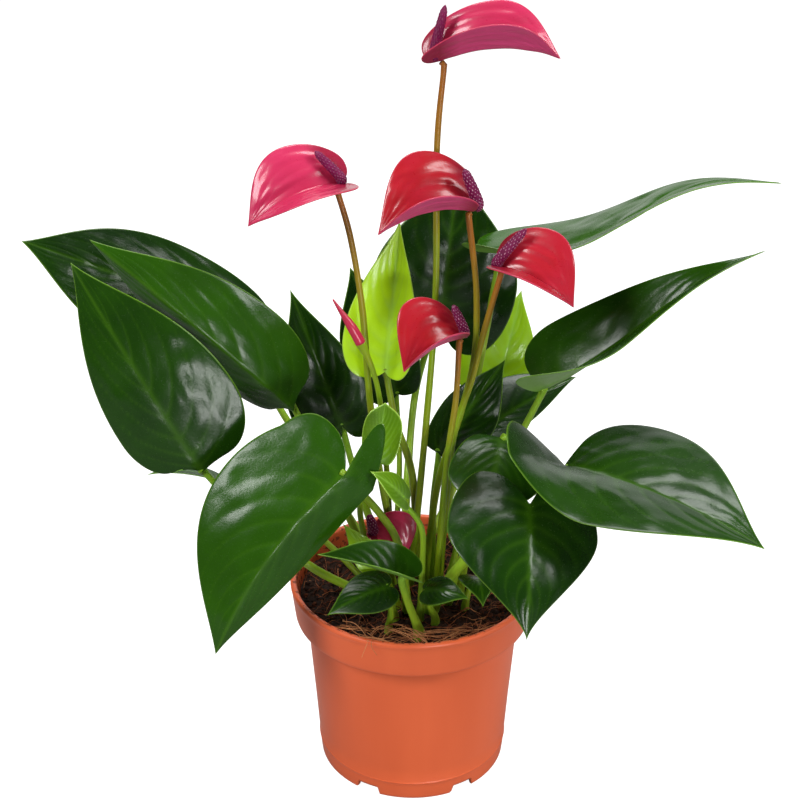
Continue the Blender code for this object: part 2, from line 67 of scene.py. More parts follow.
FOOT_RING_INSIDE = 43.9
FOOT_RING_OUTSIDE = 46
WELD = 1e-7


def halved(a, b, c, d):
    """Two triangles for each grid cell with the corners a, b, c and d."""
    return np.concatenate([np.stack([a, b, c], -1).reshape(-1, 3), np.stack([a, c, d], -1).reshape(-1, 3)])


def whole(triangles):
    """The triangles whose three corners differ."""
    a, b, c = triangles.T
    return triangles[(a != b) & (b != c) & (c != a)]


def welded(layers):
    """One skin made of point grids: its vertices, its triangles, and the maps between the two.

    The triangles wind the other way where a layer is flipped. Points closer than WELD are joined,
    and a triangle that has lost a corner in the joining is left out. first picks each vertex from
    the grids' points, and ids gives each grid point's vertex.
    """
    points = np.concatenate([grid.reshape(-1, 3) for grid, flipped in layers])
    keys = np.round(points / WELD).astype(np.int64)
    _, first, ids = np.unique(keys, axis=0, return_index=True, return_inverse=True)
    ids = ids.reshape(-1)
    start, parts = 0, []
    for grid, flipped in layers:
        rows, columns = grid.shape[:2]
        cell = ids[start:start + rows * columns].reshape(rows, columns)
        start += rows * columns
        a, b, c, d = cell[:-1, :-1], cell[:-1, 1:], cell[1:, 1:], cell[1:, :-1]
        both = halved(a, b, c, d)
        parts.append(both[:, ::-1] if flipped else both)
    return points[first], whole(np.concatenate(parts)), first, ids


def new_piece(name, vertices, triangles, material, slot, nodes=(), **values):
    """A smooth mesh piece on the root body, with one point attribute for each of the values."""
    mesh = bpy.data.meshes.new(name)
    mesh.from_pydata((vertices * MM).tolist(), [], triangles.tolist())
    mesh.shade_smooth()
    for key, data in values.items():
        mesh.attributes.new(key, "FLOAT", "POINT").data.foreach_set("value", data.astype(np.float32))
    mesh.materials.append(material)
    piece = bpy.data.objects.new(name, mesh)
    bpy.context.scene.collection.objects.link(piece)
    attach(piece, "root")
    if nodes:
        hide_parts(*nodes)


def turned_wall(profile, sides):
    """Grid of a profile of (radius, height) points carried once round the z axis.

    Row i, column j is (r_i cos a_j, r_i sin a_j, z_i); the last column repeats the first.
    """
    radius, height = np.array(profile, dtype=float).T
    angle = np.linspace(0, 2 * np.pi, sides + 1)
    turn = np.stack([np.cos(angle), np.sin(angle), np.ones_like(angle)], -1)
    turn[-1] = turn[0]
    return np.stack([radius, radius, height], -1)[:, None] * turn[None], angle


def rounded_profile(profile, pieces):
    """The profile with every segment cut into the same number of pieces, as whole arrays."""
    points = np.array(profile, dtype=float)
    share = np.arange(len(points) * pieces - pieces + 1) / pieces
    base = np.arange(len(points))
    return np.stack([np.interp(share, base, points[:, k]) for k in range(2)], -1)


def link(tree, source, target):
    tree.links.new(source, target)


def add_node(tree, kind, **settings):
    """A shader node with the given properties; a key that is a socket's name sets that socket."""
    node = tree.nodes.new(kind)
    for key, value in settings.items():
        if hasattr(node, key):
            setattr(node, key, value)
        else:
            node.inputs[key.replace("_", " ")].default_value = value
    return node


def new_material(name, **sockets):
    """A material with one Principled shader whose constant values sit on its own sockets."""
    material = bpy.data.materials.new(name)
    material.use_nodes = True
    shader = material.node_tree.nodes["Principled BSDF"]
    for key, value in sockets.items():
        shader.inputs[key.replace("_", " ")].default_value = value
    return material, material.node_tree, shader


def mixed(tree, factor, first, second, blend="MIX"):
    """Colour mix of two colours or sockets by a number or socket; gives the result socket."""
    node = tree.nodes.new("ShaderNodeMix")
    node.data_type = "RGBA"
    node.blend_type = blend
    for socket, value in ((node.inputs[0], factor), (node.inputs[6], first), (node.inputs[7], second)):
        if isinstance(value, bpy.types.NodeSocket):
            link(tree, value, socket)
        else:
            socket.default_value = value
    return node.outputs[2]


def worked(tree, operation, *values, clamp=False):
    """Math node on numbers or sockets; gives the result socket."""
    node = tree.nodes.new("ShaderNodeMath")
    node.operation = operation
    node.use_clamp = clamp
    for socket, value in zip(node.inputs, values):
        if isinstance(value, bpy.types.NodeSocket):
            link(tree, value, socket)
        else:
            socket.default_value = value
    return node.outputs[0]


def noise(tree, scale, detail=3.0, stretch=None):
    """Noise texture on the piece's Object coordinates, which stretch can scale by axis."""
    node = add_node(tree, "ShaderNodeTexNoise", Scale=scale, Detail=detail, Roughness=0.55)
    place = tree.nodes.new("ShaderNodeTexCoord").outputs["Object"]
    if stretch:
        scaled = add_node(tree, "ShaderNodeMapping", Scale=stretch)
        link(tree, place, scaled.inputs["Vector"])
        place = scaled.outputs["Vector"]
    link(tree, place, node.inputs["Vector"])
    return node.outputs["Fac"]


def value_of(tree, attribute):
    """The value of one of the piece's point attributes."""
    return add_node(tree, "ShaderNodeAttribute", attribute_name=attribute).outputs["Fac"]


def ramped(tree, factor, *stops):
    """Colour ramp over a factor, through (position, colour) stops."""
    node = tree.nodes.new("ShaderNodeValToRGB")
    for element, (position, color) in zip(node.color_ramp.elements, (stops[0], stops[-1])):
        element.position, element.color = position, color
    for position, color in stops[1:-1]:
        node.color_ramp.elements.new(position).color = color
    link(tree, factor, node.inputs["Fac"])
    return node.outputs["Color"]


def bumped(tree, height, strength, distance):
    """Normal of a Bump node over a height; the distance is in metres."""
    node = add_node(tree, "ShaderNodeBump", Strength=strength, Distance=distance)
    link(tree, height, node.inputs["Height"])
    return node.outputs["Normal"]


def pot_plastic():
    """Terracotta-coloured plastic: faint tall flow marks, a fine orange-peel skin, dust inside."""
    material, tree, shader = new_material("pot_plastic", IOR=1.49, Specular_IOR_Level=0.36)
    flow = noise(tree, 70.0, 2.0, stretch=(1.0, 1.0, 0.12))
    cloud = noise(tree, 18.0)
    shade = mixed(tree, flow, (0.62, 0.098, 0.030, 1), (0.70, 0.122, 0.038, 1))
    shade = mixed(tree, worked(tree, "MULTIPLY", cloud, 0.35), shade, (0.74, 0.146, 0.054, 1))
    dust = worked(tree, "GREATER_THAN", noise(tree, 320.0, 4.0), 0.56)
    grime = worked(tree, "MULTIPLY", value_of(tree, "inside"), dust)
    shade = mixed(tree, worked(tree, "MULTIPLY", grime, 0.7), shade, (0.045, 0.022, 0.012, 1))
    link(tree, shade, shader.inputs["Base Color"])
    satin = worked(tree, "ADD", worked(tree, "MULTIPLY", cloud, 0.16), 0.25)
    link(tree, worked(tree, "ADD", satin, worked(tree, "MULTIPLY", grime, 0.4)), shader.inputs["Roughness"])
    link(tree, bumped(tree, noise(tree, 900.0, 2.0), 0.10, 0.0002), shader.inputs["Normal"])
    return material


def build_pot():
    """The pot wall; the foot ring's lowest points are lifted to the notch height at each notch."""
    grid, angle = turned_wall(rounded_profile(POT_PROFILE, PROFILE_CUTS), POT_SIDES)
    away = (angle - FIRST_NOTCH + np.pi / NOTCHES) % (2 * np.pi / NOTCHES) - np.pi / NOTCHES
    radius = np.hypot(grid[..., 0], grid[..., 1])
    open_share = np.clip((NOTCH_HALF_WIDTH - np.abs(away) * FOOT_RING_OUTSIDE) / NOTCH_EDGE, 0, 1)[None]
    ring = (radius > FOOT_RING_INSIDE) & (grid[..., 2] < NOTCH_HEIGHT)
    grid[..., 2] = np.where(ring, grid[..., 2] + (NOTCH_HEIGHT - grid[..., 2]) * open_share, grid[..., 2])
    step = np.arange(grid.shape[0])[:, None] / PROFILE_CUTS + 0 * angle[None]
    inside = ((step > INNER_WALL[0]) & (step < INNER_WALL[1])).astype(float)
    vertices, triangles, first, ids = welded([(grid, True)])
    new_piece("grower_pot", vertices, triangles, pot_plastic(), "pot_terracotta", ("pot",),
              inside=inside.reshape(-1)[first])


build_pot()


# ------------------------------------------------------------------ the potting mix
# Dark peat with reddish coir: a crumbly surface a little below the rim, loose crumbs on it, and
# coir fibres lying across, with pale ones in loops at the front, two of them over the rim.

MIX_TOP = 92.0
MIX_RADIUS = 55.2
MIX_CORE = [(0.975, 86.5), (0.91, 80), (0.86, 60), (0.78, 9), (0, 9)]   # share of the radius, height
WALL_GAP = 1.5                 # least gap between a crumb or a fibre and the edge of the mix
chance = np.random.default_rng(27)


def lattice(x, y, cell, seed):
    """Smooth random height between -1 and 1: lattice values blended by a smoothstep."""
    values = np.random.default_rng(seed).uniform(-1, 1, (64, 64))
    fx, fy = x / cell + 32, y / cell + 32
    ix, iy = np.floor(fx).astype(int), np.floor(fy).astype(int)
    sx, sy = (3 * (fx - ix) ** 2 - 2 * (fx - ix) ** 3), (3 * (fy - iy) ** 2 - 2 * (fy - iy) ** 3)
    low = values[ix % 64, iy % 64] * (1 - sx) + values[(ix + 1) % 64, iy % 64] * sx
    high = values[ix % 64, (iy + 1) % 64] * (1 - sx) + values[(ix + 1) % 64, (iy + 1) % 64] * sx
    return low * (1 - sy) + high * sy


def mix_height(x, y):
    """Height of the mix: broad mounds, lumps and grains added up, a little lower at the wall."""
    return (MIX_TOP + 1.2 * lattice(x, y, 17, 1) + 1.1 * lattice(x, y, 6.3, 2)
            + 0.8 * lattice(x, y, 2.6, 3) + 0.35 * lattice(x, y, 1.1, 4)
            + 1.5 * np.exp(-(np.hypot(x, y) / 30) ** 2) - 1.0 * (np.hypot(x, y) / MIX_RADIUS) ** 4)


def mix_material():
    """Moist peat: near black with reddish-brown grains, rough, each fibre by its own tone."""
    material, tree, shader = new_material("potting_mix", Roughness=0.9, Specular_IOR_Level=0.25)
    tone = value_of(tree, "tone")
    grain = noise(tree, 420.0, 5.0)
    clump = worked(tree, "MULTIPLY", worked(tree, "ADD", grain, noise(tree, 60.0)), 0.5)
    peat = ramped(tree, clump, (0.3, (0.004, 0.002, 0.0012, 1)), (0.72, (0.032, 0.011, 0.004, 1)))
    fibre = ramped(tree, tone, (0, (0.022, 0.007, 0.003, 1)), (0.5, (0.19, 0.048, 0.016, 1)),
                   (1, (0.66, 0.29, 0.12, 1)))
    chosen = worked(tree, "GREATER_THAN", tone, 0.001)
    link(tree, mixed(tree, chosen, peat, fibre), shader.inputs["Base Color"])
    link(tree, bumped(tree, grain, 0.6, 0.0006), shader.inputs["Normal"])
    return material


def scattered(count, reach):
    """Random places inside a circle, even over its area."""
    distance = reach * np.sqrt(chance.uniform(0, 1, count))
    turn = chance.uniform(0, 2 * np.pi, count)
    return distance * np.cos(turn), distance * np.sin(turn)


def rod_grid(path, radius, sides):
    """Grid of a round rod: a ring of points about each point of the path, ends drawn to a point.

    Ring point j of row i is path_i + radius_i (cos a_j side_i + sin a_j over_i), where side and
    over are square to the path's direction. A path has rows of three, and there may be many paths;
    the last column repeats the first.
    """
    heading = np.gradient(path, axis=-2)
    heading = heading / np.linalg.norm(heading, axis=-1, keepdims=True)
    side = np.cross(heading, np.array([0.31, 0.9, 0.17]))
    side = side / np.linalg.norm(side, axis=-1, keepdims=True)
    over = np.cross(side, heading)
    angle = np.linspace(0, 2 * np.pi, sides + 1)
    angle[-1] = 0
    ring = (np.cos(angle)[:, None] * side[..., None, :] + np.sin(angle)[:, None] * over[..., None, :])
    grid = path[..., None, :] + radius[..., None, None] * ring
    grid[..., 0, :, :] = path[..., :1, :]
    grid[..., -1, :, :] = path[..., -1:, :]
    return grid


def many_rods(paths, radii, sides):
    """Vertices and triangles of many short rods, and the vertices in each: one pattern, repeated."""
    grids = rod_grid(paths, radii, sides)
    count, rows, columns = grids.shape[:3]
    body = np.arange(rows * columns).reshape(rows, columns)
    body[:, -1] = body[:, 0]
    body[0] = body[0, 0]
    body[-1] = body[-1, 0]
    pattern = whole(halved(body[:-1, :-1], body[:-1, 1:], body[1:, 1:], body[1:, :-1])[:, ::-1])
    used, short = np.unique(pattern, return_inverse=True)
    vertices = grids.reshape(count, -1, 3)[:, used]
    triangles = short.reshape(1, -1, 3) + np.arange(count)[:, None, None] * len(used)
    return vertices.reshape(-1, 3), triangles.reshape(-1, 3), len(used)


def build_mix():
    """The crumbly top over a plain core: a disc grid whose height is mix_height."""
    ring = np.concatenate([[0], np.linspace(0.4, MIX_RADIUS, 120)])
    angle = np.linspace(0, 2 * np.pi, 361)
    angle[-1] = 0
    x, y = ring[:, None] * np.cos(angle), ring[:, None] * np.sin(angle)
    top = np.stack([x, y, mix_height(x, y)], -1)
    down = np.array(MIX_CORE)
    side = np.stack([down[:, :1] * x[-1], down[:, :1] * y[-1], down[:, 1:] + 0 * x[-1]], -1)
    vertices, triangles, first, ids = welded([(np.concatenate([top, side]), False)])
    new_piece("potting_mix", vertices, triangles, MIX, "soil_brown", ("soil",), tone=np.zeros(len(vertices)))


CRUMB_CORNERS = [(1, 0, 0), (0, 1, 0), (-1, 0, 0), (0, -1, 0), (0, 0, 1), (0, 0, -1),
                 (0.6, 0.6, 0.5), (-0.6, -0.6, 0.5), (0.6, -0.6, -0.5), (-0.6, 0.6, -0.5)]
CRUMB_FACES = [(4, 6, 1), (4, 0, 6), (6, 0, 1), (4, 1, 2), (4, 2, 7), (4, 7, 3), (7, 2, 3), (4, 3, 0),
               (5, 8, 3), (5, 0, 8), (8, 0, 3), (5, 9, 1), (5, 2, 9), (9, 2, 1), (5, 1, 0), (5, 3, 2)]


def build_crumbs(count=1500):
    """Loose crumbs: squashed ten-cornered lumps of random size and turn, sunk into the surface."""
    x, y = scattered(count, MIX_RADIUS - WALL_GAP)
    size = chance.uniform(0.5, 1.7, (count, 1, 1)) ** 1.3
    corner = np.array(CRUMB_CORNERS, dtype=float)
    lump = corner[None] * chance.uniform(0.55, 1.2, (count, len(corner), 1))
    turn = chance.uniform(0, 2 * np.pi, count)
    spin = np.zeros((count, 3, 3))
    spin[:, 0, 0] = spin[:, 1, 1] = np.cos(turn)
    spin[:, 0, 1], spin[:, 1, 0], spin[:, 2, 2] = -np.sin(turn), np.sin(turn), 0.75
    lump = np.einsum("nij,nkj->nki", spin, lump) * size
    centre = np.stack([x, y, mix_height(x, y) + 0.2], -1)
    vertices = (lump + centre[:, None]).reshape(-1, 3)
    triangles = (np.array(CRUMB_FACES)[None] + np.arange(count)[:, None, None] * len(corner)).reshape(-1, 3)
    reddish = chance.uniform(0, 1, count) > 0.8
    tone = np.repeat(np.where(reddish, chance.uniform(0.02, 0.35, count), 0), len(corner))
    new_piece("mix_crumbs", vertices, triangles, MIX, "soil_brown", tone=tone)


FIBRE_POINTS = 10
FIBRE_SIDES = 5


def build_fibres(count=620):
    """Coir fibres: thin curved rods that start on the surface, arch a little and come back down."""
    x, y = scattered(count, MIX_RADIUS - 4)
    length = chance.uniform(5, 19, count)
    turn = chance.uniform(0, 2 * np.pi, count)
    curl = chance.uniform(-1.3, 1.3, count)
    share = np.linspace(0, 1, FIBRE_POINTS)
    bend = turn[:, None] + curl[:, None] * share
    step = length[:, None] / (FIBRE_POINTS - 1)
    px = x[:, None] + np.cumsum(step * np.cos(bend), axis=1)
    py = y[:, None] + np.cumsum(step * np.sin(bend), axis=1)
    inward = np.minimum(1, (MIX_RADIUS - WALL_GAP) / np.maximum(np.hypot(px, py), 1))
    px, py = px * inward, py * inward
    rise = chance.uniform(0.2, 2.6, count)[:, None] * np.sin(np.pi * share)
    path = np.stack([px, py, mix_height(px, py) + 0.1 + rise], -1)
    radius = chance.uniform(0.09, 0.30, count)[:, None] * (1 - 0.5 * share)
    vertices, triangles, each = many_rods(path, radius, FIBRE_SIDES)
    tone = np.repeat(0.12 + 0.75 * chance.uniform(0, 1, count) ** 2, each)
    new_piece("coir_fibres", vertices, triangles, MIX, "soil_brown", tone=tone)


FRONT_LOOPS = [
    [(-30, -46, 92), (-26, -50, 96), (-17, -53, 97), (-8, -52, 96), (-2, -49, 92)],
    [(-14, -44, 92), (-8, -47, 97), (2, -50, 98), (10, -50, 95), (13, -46, 92)],
    [(2, -52, 92), (9, -51, 96), (18, -47, 97), (24, -43, 94), (26, -40, 92)],
    [(-40, -33, 92), (-37, -38, 96), (-30, -42, 98), (-22, -44, 96), (-18, -43, 92)],
    [(14, -50, 92), (22, -47, 95), (31, -41, 96), (38, -34, 94), (40, -30, 92)],
    [(-20, -50, 93), (-15, -48, 99), (-6, -46, 99), (3, -46, 96), (6, -48, 92)],
    [(-24, -49, 93), (-24, -53, 98), (-23, -57.5, 101.5), (-24, -61.2, 99), (-26, -61.5, 95)],
    [(-21, -50, 93), (-20, -54, 98.5), (-19.5, -58, 101.6), (-20, -61.4, 98.5), (-18, -61.6, 96)],
    [(-2, -40, 92), (4, -42, 95), (12, -43, 96), (20, -40, 95), (27, -35, 92)],
]
OVER_RIM = slice(6, 8)         # the loops that hang over the rim
INSTEAD = [5, 0]               # what their copies follow
LOOP_COPIES = 7
LOOP_POINTS = 26


def through(points, count):
    """Catmull-Rom curve through the points, sampled evenly by its parameter."""
    p = np.array(points, dtype=float)
    p = np.vstack([2 * p[0] - p[1], p, 2 * p[-1] - p[-2]])
    at = np.linspace(0, len(points) - 1, count)
    k = np.minimum(at.astype(int), len(points) - 2)
    t = (at - k)[:, None]
    a, b, c, d = p[k], p[k + 1], p[k + 2], p[k + 3]
    return 0.5 * (2 * b + (c - a) * t + (2 * a - 5 * b + 4 * c - d) * t ** 2
                  + (3 * b - a - 3 * c + d) * t ** 3)


def build_front_loops():
    """Pale loose fibres at the front: copies of the loops, each turned, shifted and waved by chance."""
    paths = np.stack([through(points, LOOP_POINTS) for points in FRONT_LOOPS])
    each_loop = (LOOP_COPIES, len(FRONT_LOOPS), 1)
    middle = paths.mean(axis=1, keepdims=True)
    turnable = np.arange(len(FRONT_LOOPS)) < OVER_RIM.start
    turn = chance.uniform(-0.9, 0.9, each_loop) * turnable[:, None]
    out, level, upright = np.moveaxis(paths - middle, -1, 0)
    turned = np.stack([out * np.cos(turn) - level * np.sin(turn), out * np.sin(turn) + level * np.cos(turn),
                       upright + 0 * turn], -1)
    shaken = middle + turned + chance.uniform(-2.6, 2.6, (*each_loop, 3)) * [1, 0.8, 0.35]
    phase = chance.uniform(0, 6, (*each_loop, 3))
    shaken = shaken + 0.5 * np.sin(np.linspace(0, 9, LOOP_POINTS)[:, None] + phase)
    shaken[1:, OVER_RIM] = shaken[1:, INSTEAD]
    inward = np.minimum(1, (MIX_RADIUS - WALL_GAP) / np.hypot(shaken[..., 0], shaken[..., 1]))
    inward[0, OVER_RIM] = 1
    shaken[..., :2] *= inward[..., None]
    paths = shaken.reshape(-1, LOOP_POINTS, 3)
    radius = np.repeat(chance.uniform(0.10, 0.2, len(paths))[:, None], LOOP_POINTS, axis=1)
    vertices, triangles, each = many_rods(paths, radius, FIBRE_SIDES)
    tone = np.repeat(chance.uniform(0.55, 1.0, len(paths)), each)
    new_piece("loose_fibres", vertices, triangles, MIX, "soil_brown", tone=tone)


MIX = mix_material()
build_mix()
build_crumbs()
build_fibres()
build_front_loops()


# ------------------------------------------------------------------ the leaves
# Each leaf is a leathery heart-shaped blade on a round petiole that swells where it meets the
# blade. The midrib and the side veins run from that joint; the blade rises a little between them,
# shines on top, is paler and dull below, and ends in a thin yellow-green margin.

# Name, tone from dark to light, blade, foot of the petiole, and the points that the petiole passes.
# A tone is the leaf's own green, and right_upper's high tone also paints the pale sheen on its glossy top.
LEAVES = [
    ("front_left", 0.5, dict(
        junction=(-31, -45, 181), tip=(-90, -68, 102), face=(-95, 32), width=(19, 42), lobe=(27, 14),
        arch=7, sweep=5, fold=(-42, 0), curl=(2, 4), lobe_lift=(10, 0), widest=0.25, full=0.55, notch=0.12,
        lean=-0.45),
     (-3, -22), [(-7, -26, 132), (-16, -29, 152)]),
    ("left_upper", 0.5, dict(
        junction=(-56, 5, 188), tip=(-143, 0, 275), face=(-85, 30), width=(21, 29), lobe=(-6, -4), arch=8,
        fold=(-58, 0), curl=(2, 3), widest=0.28, full=0.5),
     (-17, 2), [(-38, 2, 150)]),
    ("left_lower", 0.22, dict(
        junction=(-97, -20, 169), tip=(-151, -5, 266), face=(-90, 20), width=(24.5, 34), lobe=(-7, -2),
        arch=6, fold=(0, 0), curl=(4, 4), widest=0.26, full=0.5),
     (-19, -13), [(-48, -24, 120), (-80, -22, 150)]),
    ("left_back", 0.12, dict(
        junction=(-87, 70, 203), tip=(-184, 45, 258), face=(-75, 45), width=(32, 28), lobe=(16, 16),
        arch=5, fold=(0, 10), curl=(4, 4), widest=0.36, full=0.55),
     (-15, 13), [(-36, 30, 124), (-67, 60, 163)]),
    ("mid_left", 0.15, dict(
        junction=(-34, 28, 168), tip=(-58, 40, 235), face=(-85, 15), width=(22, 19), lobe=(9, 9), arch=4,
        fold=(10, 10), curl=(3, 3)),
     (-11, 5), [(-26, 20, 138)]),
    ("young_upright", 0.95, dict(
        junction=(-13, 5, 208), tip=(-6, 18, 277), face=(-95, 0), width=(22, 14), lobe=(3, 3), arch=-4,
        fold=(20, 25), curl=(0, 0)),
     (3, 9), [(0, 8, 150), (-8, 7, 180)]),
    ("back_centre", 0.06, dict(
        junction=(15, 62, 214), tip=(23, 80, 282), face=(-90, 10), width=(36, 36), lobe=(21, 21), arch=4,
        fold=(5, 5), curl=(4, 4)),
     (-4, 18), [(-2, 34, 136), (3, 62, 173)]),
    # right_upper: its light tone is partly painted sheen, the pale grey-green that its glossy top reflects.
    ("right_upper", 0.6, dict(
        junction=(41, 40, 253), tip=(163, 10, 296), face=(165, 67), width=(31, 30), lobe=(12, 12), arch=2,
        ess=-6, fold=(8, 12), curl=(1, 1), lobe_lift=(0, 14), widest=0.18, full=0.3),
     (13, 18), [(20, 23, 140), (32, 33, 195)]),
    ("right_mid", 0.4, dict(
        junction=(59, 8, 196), tip=(160, 14, 263), face=(-100, 50), width=(29, 28), lobe=(0, 3), arch=4,
        ess=-6, fold=(0, 60), curl=(3, 0), lobe_lift=(0, 48), widest=0.16, full=0.3),
     (21, 3), [(38, 4, 145)]),
    ("right_front", 0.22, dict(
        junction=(69, -22, 172), tip=(145, -92, 170), face=(-95, 66), width=(40, 42), lobe=(1, 16), arch=8,
        fold=(0, 22), curl=(5, 5), lobe_lift=(6, 60), widest=0.3, full=0.46, notch=0.02, lean=0.6),
     (17, -13), [(26, -16, 125), (48, -22, 153)]),
    ("front_right", 0.12, dict(
        junction=(50, -55, 171), tip=(47, -92, 125), face=(-90, 42), width=(37, 36), lobe=(16, 16), arch=8,
        fold=(-30, 0), curl=(2, 4), notch=0.25, full=0.32),
     (9, -21), [(20, -27, 120), (38, -41, 150)]),
    ("mid_right", 0.3, dict(
        junction=(41, -10, 180), tip=(31, -42, 155), face=(-90, 60), width=(21, 21), lobe=(1, 1), arch=4,
        fold=(0, 0), curl=(3, 3), widest=0.5),
     (23, -5), [(30, -6, 140)]),
    ("upright_right", 0.12, dict(
        junction=(12, 12, 162), tip=(44, 20, 207), face=(-100, 15), width=(12, 16), lobe=(1, 1), arch=4,
        fold=(0, 0), curl=(3, 3), widest=0.38),
     (10, 9), [(10, 10, 130)]),
    ("bright_back", 0.5, dict(
        junction=(43, 75, 164), tip=(57, 88, 215), face=(-80, 20), width=(24, 18), lobe=(3, 3), arch=4,
        fold=(10, 10), curl=(3, 3)),
     (5, 24), [(26, 52, 130)]),
]
SMALL_LEAVES = [
    ("small_back", 0.1, dict(
        junction=(-7, 54, 173), tip=(-30, 62, 238), face=(-85, 10), width=(19, 18), lobe=(3, 3), arch=4,
        fold=(8, 8), curl=(3, 3), widest=0.4),
     (-9, 22), [(-6, 40, 138)]),
    ("right_low", 0.12, dict(
        junction=(37, 40, 160), tip=(84, 62, 178), face=(-100, 50), width=(20, 10), lobe=(3, 3), arch=4,
        fold=(0, -40), curl=(3, 1), widest=0.3),
     (20, 14), [(29, 28, 130)]),
    ("left_under", 0.4, dict(
        junction=(-92, 14, 146), tip=(-126, 0, 157), face=(60, 75), width=(11, 11), lobe=(4, 4), arch=3,
        fold=(10, 10), curl=(1, 1)),
     (-21, -4), [(-50, 4, 124)]),
    ("cupped", 0.03, dict(
        junction=(-17, -25, 177), tip=(-13, -20, 204), face=(-90, 10), width=(9, 10), lobe=(1, 1), arch=-2,
        fold=(20, 20), curl=(0, 0), widest=0.5, full=0.75),
     (-16, -10), [(-25, -12, 140), (-22, -20, 163)]),
    ("spoon", 0.03, dict(
        junction=(-5, -34, 163), tip=(-20, -42, 181), face=(-90, 60), width=(7, 8), lobe=(5, 5), arch=1,
        fold=(10, 10), curl=(1, 1)),
     (3, -27), [(4, -25, 122), (3, -31, 146)]),
    ("front_folded", 0.3, dict(
        junction=(-5, -52, 132), tip=(-44, -53, 145), face=(-90, 55), width=(14, 14), lobe=(8, 8), arch=2,
        fold=(70, 10), curl=(0, 0)),
     (2, -40), [(-3, -46, 114)]),
    ("low_bright", 0.5, dict(
        junction=(-17, -33, 126), tip=(-33, -28, 146), face=(-90, 50), width=(8, 6), lobe=(1, 1), arch=2,
        fold=(0, 0), curl=(1, 1)),
     (-9, -28), [(-12, -30, 108)]),
    ("rim_left", 0.1, dict(
        junction=(-12, -44, 122), tip=(-40, -60, 117), face=(-90, 60), width=(10, 12), lobe=(4, 4), arch=3,
        fold=(-40, 0), curl=(1, 2)),
     (-12, -38), [(-11, -40, 106)]),
    ("rim_right", 0.2, dict(
        junction=(5, -35, 114), tip=(25, -46, 116), face=(-90, 60), width=(9, 7), lobe=(3, 3), arch=3,
        fold=(0, -30), curl=(2, 1)),
     (10, -30), [(7, -32, 104)]),
    ("rim_back", 0.2, dict(
        junction=(29, -20, 112), tip=(32, -38, 106), face=(-70, 45), width=(8, 9), lobe=(3, 3), arch=4,
        fold=(0, 0), curl=(1, 1)),
     (25, -19), [(27, -18, 104)]),
]

YOUNG = ("young_upright", "bright_back", "cupped", "spoon", "low_bright")
STEM_RADII = {"front_right": (3.0, 1.6), "front_folded": (2.2, 1.5)}
LEAF_STEM = (2.2, 1.5)
SMALL_STEM = (1.6, 1.2)
LEAF_THICKNESS = 0.9
SINUS_END = 0.22
WIDEST_ROW = 0.46


def unit(v):
    """The vector at length 1."""
    v = np.asarray(v, dtype=float)
    return v / np.linalg.norm(v)


def direction(azimuth, elevation):
    """Unit vector by its azimuth from +X and its elevation, in degrees."""
    a, e = math.radians(azimuth), math.radians(elevation)
    return np.array([math.cos(a) * math.cos(e), math.sin(a) * math.cos(e), math.sin(e)])


def bezier(points, t):
    """Cubic Bezier curve: the four points weighted by the cubic Bernstein polynomials of t."""
    t = np.asarray(t, dtype=float)[:, None]
    p = np.array(points, dtype=float)
    return (1 - t) ** 3 * p[0] + 3 * (1 - t) ** 2 * t * p[1] + 3 * (1 - t) * t * t * p[2] + t ** 3 * p[3]


def heart_margin(rows, length, half, lobe, widest, full, notch):
    """One half of a heart's outline as (along, across): notch, shoulder and flank Bezier arcs."""
    u = widest * length
    crown = 0.32 + notch
    notch_arc = [(0, 0), (-0.35 * lobe, 0.4 * notch * half), (-lobe, notch * half), (-lobe, crown * half)]
    shoulder = [(-lobe, crown * half), (-lobe, max(0.78, crown + 0.1) * half),
                (u - 0.5 * (u + lobe), half), (u, half)]
    flank = [(u, half), (u + full * (length - u), half),
             (length - 0.24 * (length - u), (full - 0.26) * half), (length, 0)]
    low, high = rows < SINUS_END, rows > WIDEST_ROW
    mid = ~low & ~high
    out = np.zeros((len(rows), 2))
    out[low] = bezier(notch_arc, rows[low] / SINUS_END)
    out[mid] = bezier(shoulder, (rows[mid] - SINUS_END) / (WIDEST_ROW - SINUS_END))
    out[high] = bezier(flank, (rows[high] - WIDEST_ROW) / (1 - WIDEST_ROW))
    return out


def blade_frame(blade):
    """Unit vectors along the midrib chord, to its right edge and out of its face, and the length."""
    chord = np.array(blade["tip"], float) - np.array(blade["junction"], float)
    along = unit(chord)
    face = direction(*blade["face"])
    face = unit(face - along * np.dot(face, along))
    return along, np.cross(along, face), face, np.linalg.norm(chord)


